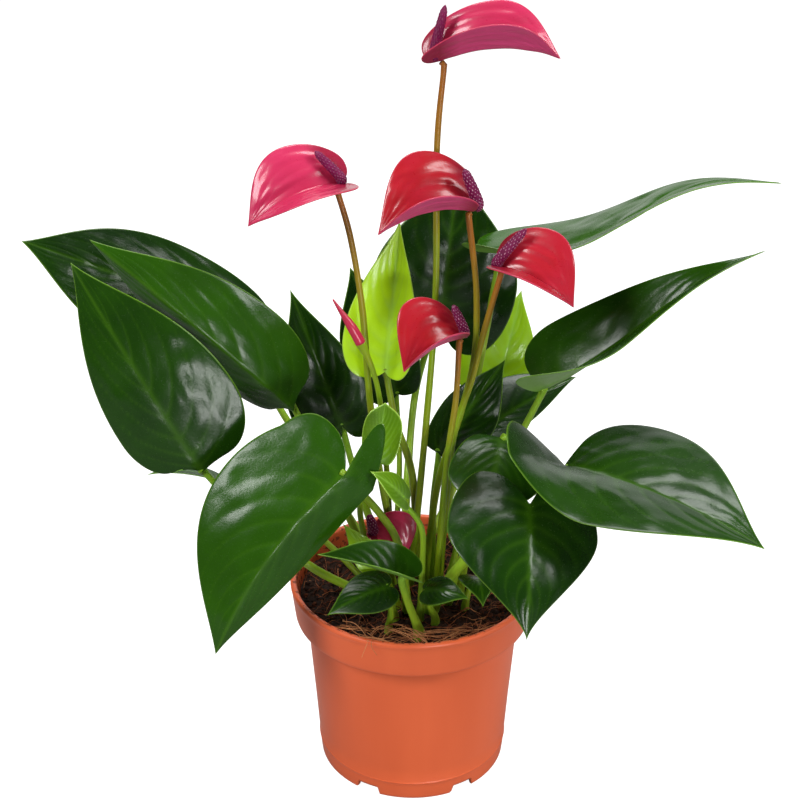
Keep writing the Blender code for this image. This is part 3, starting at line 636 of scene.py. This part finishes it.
def blade_points(blade, rows, columns):
    """Middle surface of a blade, and its flat coordinates u and v, on a grid of rows and columns.

    A row joins a point of the midrib to a point of the margin. The midrib bows out of the face by
    a parabola of height arch, with an S of height ess, and sideways by sweep; each half is tilted
    by its fold angle and bent down by curl times the squared share of its width. Its lobe is raised by
    lobe_lift, and behind the junction the lobes slide sideways by lean.
    """
    along, right, face, length = blade_frame(blade)
    midrib = length * np.clip((rows - 0.12) / 0.88, 0, 1) ** 1.6
    side = (columns >= 0).astype(int)
    reach = np.abs(columns)[None]
    margin = np.stack([heart_margin(rows, length, blade["width"][s], blade["lobe"][s],
                                    blade.get("widest", 0.2), blade.get("full", 0.42),
                                    blade.get("notch", 0.12)) for s in (0, 1)])[side]
    u = (1 - reach) * midrib[:, None] + reach * margin[..., 0].T
    v = reach * margin[..., 1].T
    pick = lambda pair: np.array(pair, dtype=float)[side][None]
    t = u / length
    bow = 4 * blade["arch"] * t * (1 - np.clip(t, 0, 1)) + blade.get("ess", 0) * np.sin(2 * np.pi * t)
    sweep = 4 * blade.get("sweep", 0) * t * (1 - np.clip(t, 0, 1))
    fold = np.radians(pick(blade["fold"]))
    share = v / pick(blade["width"])
    lobe = pick(blade["lobe"])
    base = np.clip(1 - (u + lobe) / (0.4 * length + lobe), 0, 1)
    lift = v * np.sin(fold) - pick(blade["curl"]) * share ** 2
    lift = lift + pick(blade.get("lobe_lift", (0, 0))) * base ** 2 * share
    hand = np.where(columns >= 0, 1, -1)[None]
    across = v * np.cos(fold) * hand + blade.get("lean", 0) * np.minimum(u, 0)
    points = (np.array(blade["junction"], float) + u[..., None] * along + (across + sweep)[..., None] * right
              + (lift + bow)[..., None] * face)
    return points, u, v * hand


def grid_normals(points):
    """Unit normals of a grid: triangle normals summed at each joined point."""
    vertices, triangles, first, ids = welded([(points, False)])
    corner = vertices[triangles]
    flat = np.cross(corner[:, 1] - corner[:, 0], corner[:, 2] - corner[:, 0])
    total = np.zeros_like(vertices)
    for k in range(3):
        np.add.at(total, triangles[:, k], flat)
    total = total / np.maximum(np.linalg.norm(total, axis=1, keepdims=True), 1e-12)
    return total[ids].reshape(points.shape)


def vein_pattern(rows, columns, u, v, veins, width, fan):
    """Closeness to a vein, from 0 to 1, and distance in mm to the nearest side vein.

    Side veins are lines on which row - 0.26 column^1.4 is constant; the midrib is column 0.
    Where fan is set they run lengthwise instead, from the junction to the tip at a constant column.
    """
    if fan:
        place = np.abs(columns)[None] + 0.02 * np.sin(9 * rows[:, None])
        pace = np.hypot(np.gradient(u, columns, axis=1), np.gradient(v, columns, axis=1))
    else:
        place = rows[:, None] - 0.26 * np.abs(columns)[None] ** 1.4
        pace = np.hypot(np.gradient(u, rows, axis=0), np.gradient(v, rows, axis=0))
    gap = np.min(np.abs(place[..., None] - veins), axis=-1) * pace
    length = max(u.max(), 1)
    rib = np.exp(-(v / (0.65 * width * (2.1 - 1.5 * np.clip(u / length, 0, 1)))) ** 2)
    fine = np.exp(-(gap / (width * (1.1 - 0.75 * np.abs(columns)[None]))) ** 2)
    return np.clip(rib + 0.5 * fine * (1 - 0.35 * np.abs(columns)[None]), 0, 1), gap


def build_blade(name, blade, material, slot, nodes, tone, look):
    """A closed blade: top and bottom skins either side of the middle surface, meeting at the margin.

    The top skin sinks at the veins and rises between them, the bottom one carries the midrib, and
    slow waves and finer puckers of a few tenths of a millimetre run over both.
    """
    rows = np.linspace(0, 1, look["rows"]) ** 0.92
    half = np.concatenate([np.linspace(0, 0.88, look["columns"]), [0.92, 0.95, 0.975, 0.99, 1.0]])
    columns = np.concatenate([-half[:0:-1], half])
    middle, u, v = blade_points(blade, rows, columns)
    normal = grid_normals(middle)
    vein, gap = vein_pattern(rows, columns, u, v, look["veins"], look["vein_width"], look["fan"])
    span = np.hypot(np.gradient(u, columns, axis=1), np.gradient(v, columns, axis=1))
    rim = (1 - np.abs(columns)[None]) * span
    inward = np.clip(rim / look["edge"], 0, 1)
    thick = look["thickness"] * np.sqrt(1 - (1 - inward) ** 2) / 2
    calm = np.clip(rim / 5.0, 0, 1) * np.clip(np.hypot(u, v) / 6.0, 0, 1)
    quilt = look["quilt"] * (1 - np.exp(-(gap / look["quilt_width"]) ** 2)) * calm
    slow = look["slow"] * calm * (lattice(u + 40 * tone, v, 15, 5) + 0.5 * lattice(u, v + 60 * tone, 7, 6))
    slow = slow + look["pucker"] * calm * lattice(0.55 * u + 31 * tone, 1.6 * v, 4.5, 8)
    raised = (thick + quilt + slow - look["groove"] * vein * calm)[..., None]
    length = max(u.max(), 1)
    rib = look["rib"] * np.exp(-(v / 1.3) ** 2) * np.clip(1 - u / length, 0, 1) * np.clip(u / 4 + 0.4, 0, 1)
    lowered = (-thick + (quilt + slow) * 0.8 - rib * calm)[..., None]
    top, bottom = middle + raised * normal, middle + lowered * normal
    vertices, triangles, first, ids = welded([(top, False), (bottom, True)])
    both = lambda above, below: np.concatenate([np.broadcast_to(skin, u.shape).reshape(-1)
                                                for skin in (above, below)])[first]
    edge = np.exp(-(rim / look["edge_line"]) ** 2)
    new_piece(name, vertices, triangles, material, slot, nodes, vein=both(vein, vein), edge=both(edge, edge),
              under=both(0.0, 1.0), tone=both(tone, tone), along=both(u / length, u / length))


def blade_skin():
    """Node group of a blade's colour, roughness and normal, for leaves and hoods alike.

    Base is Dark to Light by the blade's own tone and soft mottling, then veins, margin and
    underside are laid over it by their attributes, and a painted shade darkens the lobes and the
    first sixth along the blade; a fine grain lifts the normal.
    """
    tree = bpy.data.node_groups.new("blade_skin", "ShaderNodeTree")
    for way, kind, titles in (
            ("INPUT", "NodeSocketColor", ("Dark", "Light", "Vein", "Margin", "Underside", "Throat")),
            ("INPUT", "NodeSocketFloat", ("Throat Share", "Vein Share", "Mottle", "Top Roughness", "Grain")),
            ("OUTPUT", "NodeSocketColor", ("Color",)), ("OUTPUT", "NodeSocketFloat", ("Roughness",)),
            ("OUTPUT", "NodeSocketVector", ("Normal",))):
        for title in titles:
            tree.interface.new_socket(title, in_out=way, socket_type=kind)
    given = tree.nodes.new("NodeGroupInput").outputs
    result = tree.nodes.new("NodeGroupOutput").inputs
    read = {key: value_of(tree, key) for key in ("vein", "edge", "under", "tone", "along")}
    cloud = noise(tree, 42.0)
    grain = noise(tree, 900.0)
    pores = add_node(tree, "ShaderNodeTexVoronoi", Scale=420.0, feature="DISTANCE_TO_EDGE")
    link(tree, tree.nodes.new("ShaderNodeTexCoord").outputs["Object"], pores.inputs["Vector"])
    swing = worked(tree, "MULTIPLY", worked(tree, "SUBTRACT", cloud, 0.5), given["Mottle"])
    shade = mixed(tree, worked(tree, "ADD", read["tone"], swing, clamp=True), given["Dark"], given["Light"])
    veined = mixed(tree, worked(tree, "MULTIPLY", read["vein"], given["Vein Share"]), shade, given["Vein"])
    below = mixed(tree, worked(tree, "MULTIPLY", read["vein"], 0.5), given["Underside"], given["Vein"])
    sided = mixed(tree, read["under"], veined, below)
    # Painted shade: the lobes and the first sixth along the blade are darkened towards the base shade
    # colour, which on the hoods stands for the cupped base lying in shadow.
    farther = worked(tree, "MULTIPLY", read["along"], 6.0)
    near = worked(tree, "SUBTRACT", 1.0, farther, clamp=True)
    near = worked(tree, "MULTIPLY", near, given["Throat Share"])
    sided = mixed(tree, near, sided, given["Throat"])
    link(tree, mixed(tree, read["edge"], sided, given["Margin"]), result["Color"])
    dull = worked(tree, "ADD", given["Top Roughness"], worked(tree, "MULTIPLY", read["under"], 0.22))
    worn = worked(tree, "MULTIPLY", worked(tree, "SUBTRACT", grain, 0.5), 0.16)
    link(tree, worked(tree, "ADD", dull, worn, clamp=True), result["Roughness"])
    height = worked(tree, "ADD", worked(tree, "MULTIPLY", grain, given["Grain"]),
                    worked(tree, "MULTIPLY", worked(tree, "MINIMUM", pores.outputs["Distance"], 0.2), 0.6))
    link(tree, bumped(tree, height, 0.22, 0.00035), result["Normal"])
    return tree


BLADE_SKIN = blade_skin()


def blade_material(name, coat, **sockets):
    """A blade's material: the shared skin with its own colours, under a thin waxy coat."""
    material, tree, shader = new_material(name, Coat_Weight=coat, Coat_Roughness=0.14,
                                          Specular_IOR_Level=0.24)
    skin = add_node(tree, "ShaderNodeGroup", node_tree=BLADE_SKIN, **sockets)
    link(tree, skin.outputs["Color"], shader.inputs["Base Color"])
    link(tree, skin.outputs["Roughness"], shader.inputs["Roughness"])
    link(tree, skin.outputs["Normal"], shader.inputs["Normal"])
    return material


LEAF = blade_material(
    "leaf_blade", 0.05, Dark=(0.0025, 0.016, 0.0008, 1), Light=(0.028, 0.112, 0.0016, 1),
    Vein=(0.080, 0.21, 0.008, 1), Margin=(0.12, 0.25, 0.02, 1), Underside=(0.14, 0.30, 0.040, 1),
    Vein_Share=0.22, Mottle=0.45, Top_Roughness=0.25, Grain=0.5)
YOUNG_LEAF = blade_material(
    "young_leaf_blade", 0.25, Dark=(0.085, 0.20, 0.003, 1), Light=(0.42, 0.72, 0.004, 1),
    Vein=(0.26, 0.50, 0.06, 1), Margin=(0.32, 0.52, 0.07, 1), Underside=(0.19, 0.38, 0.06, 1),
    Vein_Share=0.5, Mottle=0.5, Top_Roughness=0.36, Grain=0.5)
# Grid size, veins, and in mm: widths, thickness, and how far each wave or groove lifts the skin.
LEAF_LOOK = dict(
    rows=110, columns=19, veins=np.array([0.22, 0.32, 0.42, 0.52, 0.62, 0.72, 0.82]), fan=False,
    vein_width=1.3, thickness=0.62, edge=1.1, edge_line=0.34, quilt=0.12, quilt_width=3.4, slow=0.5,
    pucker=0.13, groove=0.13, rib=0.9)
SMALL_LOOK = dict(
    LEAF_LOOK, rows=60, columns=11, vein_width=0.8, thickness=0.55, edge=0.8, edge_line=0.4, quilt_width=1.6,
    slow=0.18, pucker=0.05, groove=0.12, rib=0.4)
SEAT_GAP = 0.3


def blade_seat(blade, thickness, end_radius, side):
    """Point over (side 1) or under (side -1) the junction where a rod ends, and the normal there."""
    along, right, face, length = blade_frame(blade)
    fold = [math.radians(f) for f in blade["fold"]]
    lean = (math.sin(fold[0]) - math.sin(fold[1])) * right + (math.cos(fold[0]) + math.cos(fold[1])) * face
    slope = (4 * blade["arch"] + 2 * math.pi * blade.get("ess", 0)) / length
    normal = unit(unit(lean) - slope * along)
    half_angle = (math.pi - side * (fold[0] + fold[1])) / 2
    depth = (thickness / 2 + SEAT_GAP + end_radius * max(0.0, math.cos(half_angle))) / math.sin(half_angle)
    return np.array(blade["junction"], float) + side * depth * normal, normal


def stem_material(name, low, high, blush):
    """A stem's skin: low colour to high colour by 'along', blush by 'tone', fine lengthwise streaks."""
    material, tree, shader = new_material(name, Roughness=0.36, Specular_IOR_Level=0.28,
                                          Subsurface_Weight=0.06, Subsurface_Scale=0.002)
    ground = ramped(tree, value_of(tree, "along"), (0.6, low), (0.95, high))
    streak = noise(tree, 900.0, stretch=(1.0, 1.0, 0.08))
    blushed = worked(tree, "MULTIPLY", value_of(tree, "tone"), noise(tree, 60.0, 2.0))
    shade = mixed(tree, blushed, ground, blush)
    dark = mixed(tree, 1.0, shade, (0.72, 0.74, 0.68, 1), "MULTIPLY")
    link(tree, mixed(tree, streak, shade, dark), shader.inputs["Base Color"])
    link(tree, bumped(tree, streak, 0.15, 0.0003), shader.inputs["Normal"])
    return material


PETIOLE = stem_material("petiole_skin", (0.27, 0.45, 0.024, 1), (0.20, 0.42, 0.020, 1),
                        (0.22, 0.17, 0.015, 1))
STEM_POINTS = 64
STEM_SIDES = 14
ROOTED = 2.0                   # how deep a stem's foot stands in the mix
JOINED = 0.45                  # how far its end reaches past its seat, into the blade


def stalk_path(foot, via, seat, normal):
    """Even points from just inside the mix, through the via points, into the joint under the blade."""
    start = np.array([foot[0], foot[1], MIX_TOP - ROOTED])
    rise = start + [0, 0, 5.3]
    knee = seat - 2 * normal
    dense = through([start, rise, *via, knee, seat + JOINED * normal], 240)
    walked = np.concatenate([[0], np.cumsum(np.linalg.norm(np.diff(dense, axis=0), axis=1))])
    at = np.linspace(0, walked[-1], STEM_POINTS)
    return np.stack([np.interp(at, walked, dense[:, k]) for k in range(3)], -1), at


def build_stalk(name, blade, thickness, foot, via, radii, material, nodes, tone, swell=0.28):
    """A petiole or flower stalk: a rod that tapers upwards, flared at its foot and at its joint."""
    seat, normal = blade_seat(blade, thickness, radii[1], -1)
    path, at = stalk_path(foot, via, seat, normal)
    share = at / at[-1]
    radius = radii[0] + (radii[1] - radii[0]) * share
    left = at[-1] - at
    radius = radius * (1 + 0.35 * np.exp(-(at / 9) ** 2) + swell * np.exp(-((left - 3.5) / 3.5) ** 2))
    radius = radius * (1 + 0.03 * np.sin(at / 7 + 9 * tone))
    path = np.concatenate([path[:1], path, path[-1:]])
    radius = np.concatenate([[0], radius, [0]])
    share = np.concatenate([[0], share, [1]])
    path[0] += [0, 0, -0.01]
    path[-1] = path[-2] + 0.3 * normal
    vertices, triangles, first, ids = welded([(rod_grid(path, radius, STEM_SIDES), True)])
    new_piece(name, vertices, triangles, material, "stem_green", nodes,
              along=np.repeat(share, STEM_SIDES + 1)[first], tone=np.full(len(vertices), tone))


def build_leaf(name, tone, blade, foot, via, look, radii, nodes=(), **stalk):
    """One leaf: its blade, and its petiole up to the blade's joint."""
    material, slot = (YOUNG_LEAF, "young_green") if name in YOUNG else (LEAF, "leaf_green")
    build_blade("blade_" + name, blade, material, slot, ("leaf_" + name,), tone, look)
    radii = STEM_RADII.get(name, radii)
    build_stalk("stem_" + name, blade, foot=foot, via=via, radii=radii, material=PETIOLE, nodes=nodes,
                tone=tone, **stalk)


for name, *row in LEAVES:
    build_leaf(name, *row, LEAF_LOOK, LEAF_STEM, ("petiole_" + name,), thickness=LEAF_THICKNESS)
for name, *row in SMALL_LEAVES:
    build_leaf(name, *row, SMALL_LOOK, SMALL_STEM, thickness=0.1, swell=0.1)


# ------------------------------------------------------------------ the flowers
# A flower is a waxy heart-shaped hood with a knobbly spadix standing on its joint, on a long bare
# stalk. The hood is quilted and deep pink-red inside, smooth and paler outside; the spadix is
# purple, close set with pale dots. One young flower is still rolled up.

# Name, tone, hood, spadix with the share of its flowers that are open, foot of the stalk, and the
# points that the stalk passes.
FLOWERS = [
    ("top", 0.8, dict(
        junction=(11, 10, 351), tip=(62, 8, 352), face=(-90, 60), width=(22, 17), lobe=(8, 8), arch=7,
        fold=(30, 75), curl=(2, 0), widest=0.5, full=0.62),
     dict(top=(13, 12, 374), radius=2.4, open=0.2), (-1, 2),
     [(6, 4, 180), (10, 8, 242), (10, 10, 312)]),
    ("centre", 0.12, dict(
        junction=(25, -5, 289), tip=(-16, -16, 282), face=(-90, 60), width=(15, 28), lobe=(2, 6), arch=7,
        fold=(70, 30), curl=(0, 2), widest=0.38, full=0.6),
     dict(top=(21, -8, 309), radius=2.8), (6, 3),
     [(12, 4, 149), (22, 6, 184), (28, 5, 215), (28, 0, 250)]),
    ("left", 0.8, dict(
        junction=(-33, 0, 300), tip=(-72, -10, 284), face=(-90, 60), width=(20, 23), lobe=(7, 7), arch=6,
        fold=(35, 25), curl=(0, 2), widest=0.35, full=0.6),
     dict(top=(-43, 2, 314), radius=2.4, open=0.35), (-4, -6),
     [(-14, -7, 150), (-20, -6, 197), (-23, -3, 241), (-28, 0, 275)]),
    ("right", 0.15, dict(
        junction=(38, -5, 263), tip=(70, -16, 248), face=(-90, 60), width=(24, 18), lobe=(5, 5), arch=5,
        fold=(30, 45), curl=(2, 0), widest=0.35, full=0.6),
     dict(top=(49, -5, 281), radius=2.6), (13, -3),
     [(18, -3, 172), (27, -1, 207), (32, -1, 231)]),
    ("middle", 0.1, dict(
        junction=(21, -10, 231), tip=(-5, -22, 220), face=(-90, 60), width=(15, 25), lobe=(3, 3), arch=5,
        fold=(65, 30), curl=(0, 2), widest=0.38, full=0.65),
     dict(top=(17, -12, 248), radius=2.4, open=1.15), (11, -13),
     [(15, -12, 165), (19, -11, 200)]),
    ("low", 0.7, dict(
        junction=(-20, -16, 134), tip=(-5, -18, 119), face=(-70, 50), width=(18, 8), lobe=(2, 2), arch=2,
        fold=(30, 40), curl=(0, 0), widest=0.4, full=0.6),
     dict(top=(-21, -18, 145), radius=2.6), (-8, -18),
     [(-15, -15, 113)]),
]
BUD_PATH = [(-10, -1, 90.0), (-12, -1, 150), (-16, -13, 205), (-24, -14, 231), (-36, -14, 252)]
BUD_RADII = [1.5, 1.5, 1.4, 1.4, 1.3, 1.3, 1.2, 1.2, 1.4, 2.4, 2.2, 1.2, 0.3]
BUD_OVERLAP = 0.14
BUD_SIDES = 40
STALK_RADII = (1.8, 1.3)
STALK_TONE = 0.6
HOOD_THICKNESS = 1.0

# The dark crimson laid over the hood's lobes and base is painted shade, for the cupped inside in shadow.
HOOD = blade_material(
    "hood_wax", 0.32, Dark=(0.36, 0.008, 0.010, 1), Light=(0.50, 0.028, 0.100, 1),
    Vein=(0.34, 0.006, 0.030, 1), Margin=(0.50, 0.04, 0.09, 1), Underside=(0.62, 0.06, 0.19, 1),
    Throat=(0.20, 0.003, 0.018, 1), Throat_Share=0.75, Vein_Share=0.4, Mottle=0.4, Top_Roughness=0.30,
    Grain=0.3)
HOOD_LOOK = dict(
    rows=84, columns=24, veins=np.array([0.2, 0.4, 0.6, 0.8]), fan=True, vein_width=0.5, thickness=0.8,
    edge=0.9, edge_line=0.35, quilt=0.14, quilt_width=1.2, slow=0.5, pucker=0.32, groove=0.12, rib=0.3)
FLOWER_STALK = stem_material("flower_stalk_skin", (0.20, 0.42, 0.008, 1), (0.37, 0.115, 0.020, 1),
                             (0.30, 0.12, 0.010, 1))


def spadix_material():
    """Purple flesh with pale dots where the tiny flowers open, by the 'dot' attribute."""
    material, tree, shader = new_material("spadix_flesh", Roughness=0.5, Specular_IOR_Level=0.2,
                                          Subsurface_Weight=0.05, Subsurface_Scale=0.001)
    flesh = mixed(tree, noise(tree, 260.0), (0.08, 0.002, 0.030, 1), (0.20, 0.005, 0.068, 1))
    pale = worked(tree, "MULTIPLY", value_of(tree, "dot"), 0.85)
    link(tree, mixed(tree, pale, flesh, (0.75, 0.45, 0.58, 1)), shader.inputs["Base Color"])
    return material


SPADIX = spadix_material()
SPADIX_POINTS = 90
SPADIX_SIDES = 56
SPIRALS = 5
DOME_HEIGHT = 0.28
CLUB = ([0, 0.06, 0.2, 0.45, 0.75, 0.9, 1], [0.5, 0.8, 1, 0.98, 0.86, 0.7, 0.42])   # share, radius share


def build_spadix(name, blade, spadix):
    """A tapering club with a round tip, covered in low domes set in crossing spirals.

    The dome height is the product of two cosine waves that climb round the club in opposite
    turns, 3 mm to the turn; the pale dot sits on the top of each dome.
    """
    base, normal = blade_seat(blade, HOOD_THICKNESS, 0.5 * spadix["radius"], 1)
    top = np.array(spadix["top"], float)
    path = through([base - 0.6 * normal, base + 2.0 * normal, top], SPADIX_POINTS)
    share = np.linspace(0, 1, SPADIX_POINTS)
    tip = np.sqrt(np.clip((1 - share) / 0.06, 0, 1) + 1e-9).clip(0, 1)
    radius = spadix["radius"] * np.interp(share, *CLUB) * tip
    radius[0] = 0
    grid = rod_grid(path, radius, SPADIX_SIDES)
    angle = np.linspace(0, 2 * np.pi, SPADIX_SIDES + 1)
    climb = share[:, None] * np.linalg.norm(top - base) / 1.5
    wave = (np.cos(SPIRALS * angle[None] + 2 * np.pi * climb / 2)
            * np.cos(SPIRALS * angle[None] - 2 * np.pi * climb / 2))
    dome = np.clip(np.abs(wave), 0, 1) ** 1.4
    outward = grid - path[:, None]
    reach = np.maximum(np.linalg.norm(outward, axis=-1, keepdims=True), 1e-6)
    fade = np.clip((1 - share) / 0.05, 0, 1)[:, None]
    grid = grid + outward / reach * (DOME_HEIGHT * (dome - 0.5) * fade)[..., None] * (reach > 0.05)
    grid[:, -1] = grid[:, 0]
    vertices, triangles, first, ids = welded([(grid, True)])
    dot = (dome > 0.88) * (np.clip((share[:, None] - 0.05) / 0.1, 0, 1) * spadix.get("open", 1.0))
    new_piece(name, vertices, triangles, SPADIX, "spadix_purple", (name,), dot=dot.reshape(-1)[first])


for name, tone, blade, spadix, foot, via in FLOWERS:
    build_blade("hood_" + name, blade, HOOD, "hood_red", ("spathe_" + name,), tone, HOOD_LOOK)
    build_stalk("stalk_" + name, blade, HOOD_THICKNESS, foot, via, STALK_RADII, FLOWER_STALK,
                ("flower_stalk_" + name,), STALK_TONE, swell=0.12)
    build_spadix("spadix_" + name, blade, spadix)


def build_bud():
    """The rolled young flower on its stalk: a slim spindle that grows round the turn, leaving a seam."""
    at = np.linspace(0, 1, 120)
    path = through(BUD_PATH, len(at))
    swell = np.interp(at, np.linspace(0, 1, len(BUD_RADII)), BUD_RADII)
    turn = np.linspace(0, 1, BUD_SIDES + 1) - 0.5
    for name, rows, overlap, material, slot in (
            ("stalk_bud", slice(0, 91), 0, FLOWER_STALK, "stem_green"),
            ("rolled_bud", slice(88, 120), BUD_OVERLAP, HOOD, "hood_red")):
        radius = swell[rows].copy()
        radius[[0, -1]] = 0
        centre = path[rows][:, None]
        outward = rod_grid(path[rows], radius, BUD_SIDES) - centre
        grid = centre + outward * (1 + overlap * turn)[None, :, None]
        vertices, triangles, first, ids = welded([(grid, True)])
        plain = np.zeros(len(vertices))
        new_piece(name, vertices, triangles, material, slot, ("flower_bud",), vein=plain, edge=plain,
                  under=plain, tone=plain + 0.5, along=np.repeat(0.6 * at[rows], BUD_SIDES + 1)[first])


build_bud()


# ------------------------------------------------------------------ the studio
# A pale floor and pale surroundings that shine weakly on the plant, soft light from panels on both
# sides, above, in front and behind, and a camera a little above the leaves that looks down at them.

SURROUNDINGS = 0.07            # brightness of the surroundings as the plant receives it
PANELS = {                     # place, size and power
    "left_panel": ((-0.9, -0.7, 1.1), (0.44, 0.6), 17),
    "right_panel": ((1.1, -0.45, 1.0), (0.44, 0.6), 14),
    "top_panel": ((0.0, 0.35, 1.5), (0.8, 0.45), 15),
    "low_panel": ((0.35, -1.0, 0.10), (0.3, 0.2), 4),
    "back_panel": ((0.35, 1.25, 0.70), (1.4, 1.0), 5),
}
PANELS_AIM = (0, 0, 0.2)


def build_stage():
    """The floor: a plain sheet, white to the eye and dim as a lamp."""
    mesh = bpy.data.meshes.new("floor")
    corner = np.array([(-4, -3, 0), (4, -3, 0), (4, 6, 0), (-4, 6, 0)], dtype=float)
    mesh.from_pydata(corner.tolist(), [], [(0, 1, 2, 3)])
    floor = bpy.data.objects.new("floor", mesh)
    bpy.context.scene.collection.objects.link(floor)
    material, tree, shader = new_material("floor_paper", Base_Color=(0.25, 0.25, 0.25, 1), Roughness=0.9,
                                          Emission_Strength=1.0)
    seen = tree.nodes.new("ShaderNodeLightPath").outputs["Is Camera Ray"]
    link(tree, mixed(tree, seen, (0.05, 0.05, 0.05, 1), (1, 1, 1, 1)), shader.inputs["Emission Color"])
    mesh.materials.append(material)


def add_panel(name, place, size, power):
    """An area light at place, turned to shine on PANELS_AIM."""
    lamp = bpy.data.lights.new(name, "AREA")
    lamp.shape = "RECTANGLE"
    lamp.size, lamp.size_y = size
    lamp.energy = power
    panel = bpy.data.objects.new(name, lamp)
    back = np.array(place, dtype=float) - np.array(PANELS_AIM, dtype=float)
    panel.location = place
    panel.rotation_euler = (math.atan2(math.hypot(back[0], back[1]), back[2]), 0,
                            math.atan2(back[0], -back[1]))
    bpy.context.scene.collection.objects.link(panel)


def build_lights():
    """The surroundings, full white to the camera and dim as a lamp, and the panels."""
    world = bpy.data.worlds.new("studio")
    world.use_nodes = True
    tree = world.node_tree
    sky = tree.nodes["Background"].inputs
    sky["Color"].default_value = (1.0, 1.0, 1.0, 1)
    seen = tree.nodes.new("ShaderNodeLightPath").outputs["Is Camera Ray"]
    extra = worked(tree, "MULTIPLY", seen, 1 - SURROUNDINGS)
    link(tree, worked(tree, "ADD", extra, SURROUNDINGS), sky["Strength"])
    bpy.context.scene.world = world
    for name, panel in PANELS.items():
        add_panel(name, *panel)


def build_camera():
    """The camera: location and turn in metres and degrees, with a lens of medium length."""
    camera = bpy.data.cameras.new("camera")
    camera.lens = 68.1
    camera.sensor_width = 36
    holder = bpy.data.objects.new("camera", camera)
    holder.location = (-0.0143, -0.631, 0.502)
    holder.rotation_euler = (math.radians(90 - 25.9), 0, math.radians(-0.734))
    bpy.context.scene.collection.objects.link(holder)
    bpy.context.scene.camera = holder


build_stage()
build_lights()
build_camera()
bpy.context.scene.view_settings.view_transform = "Standard"
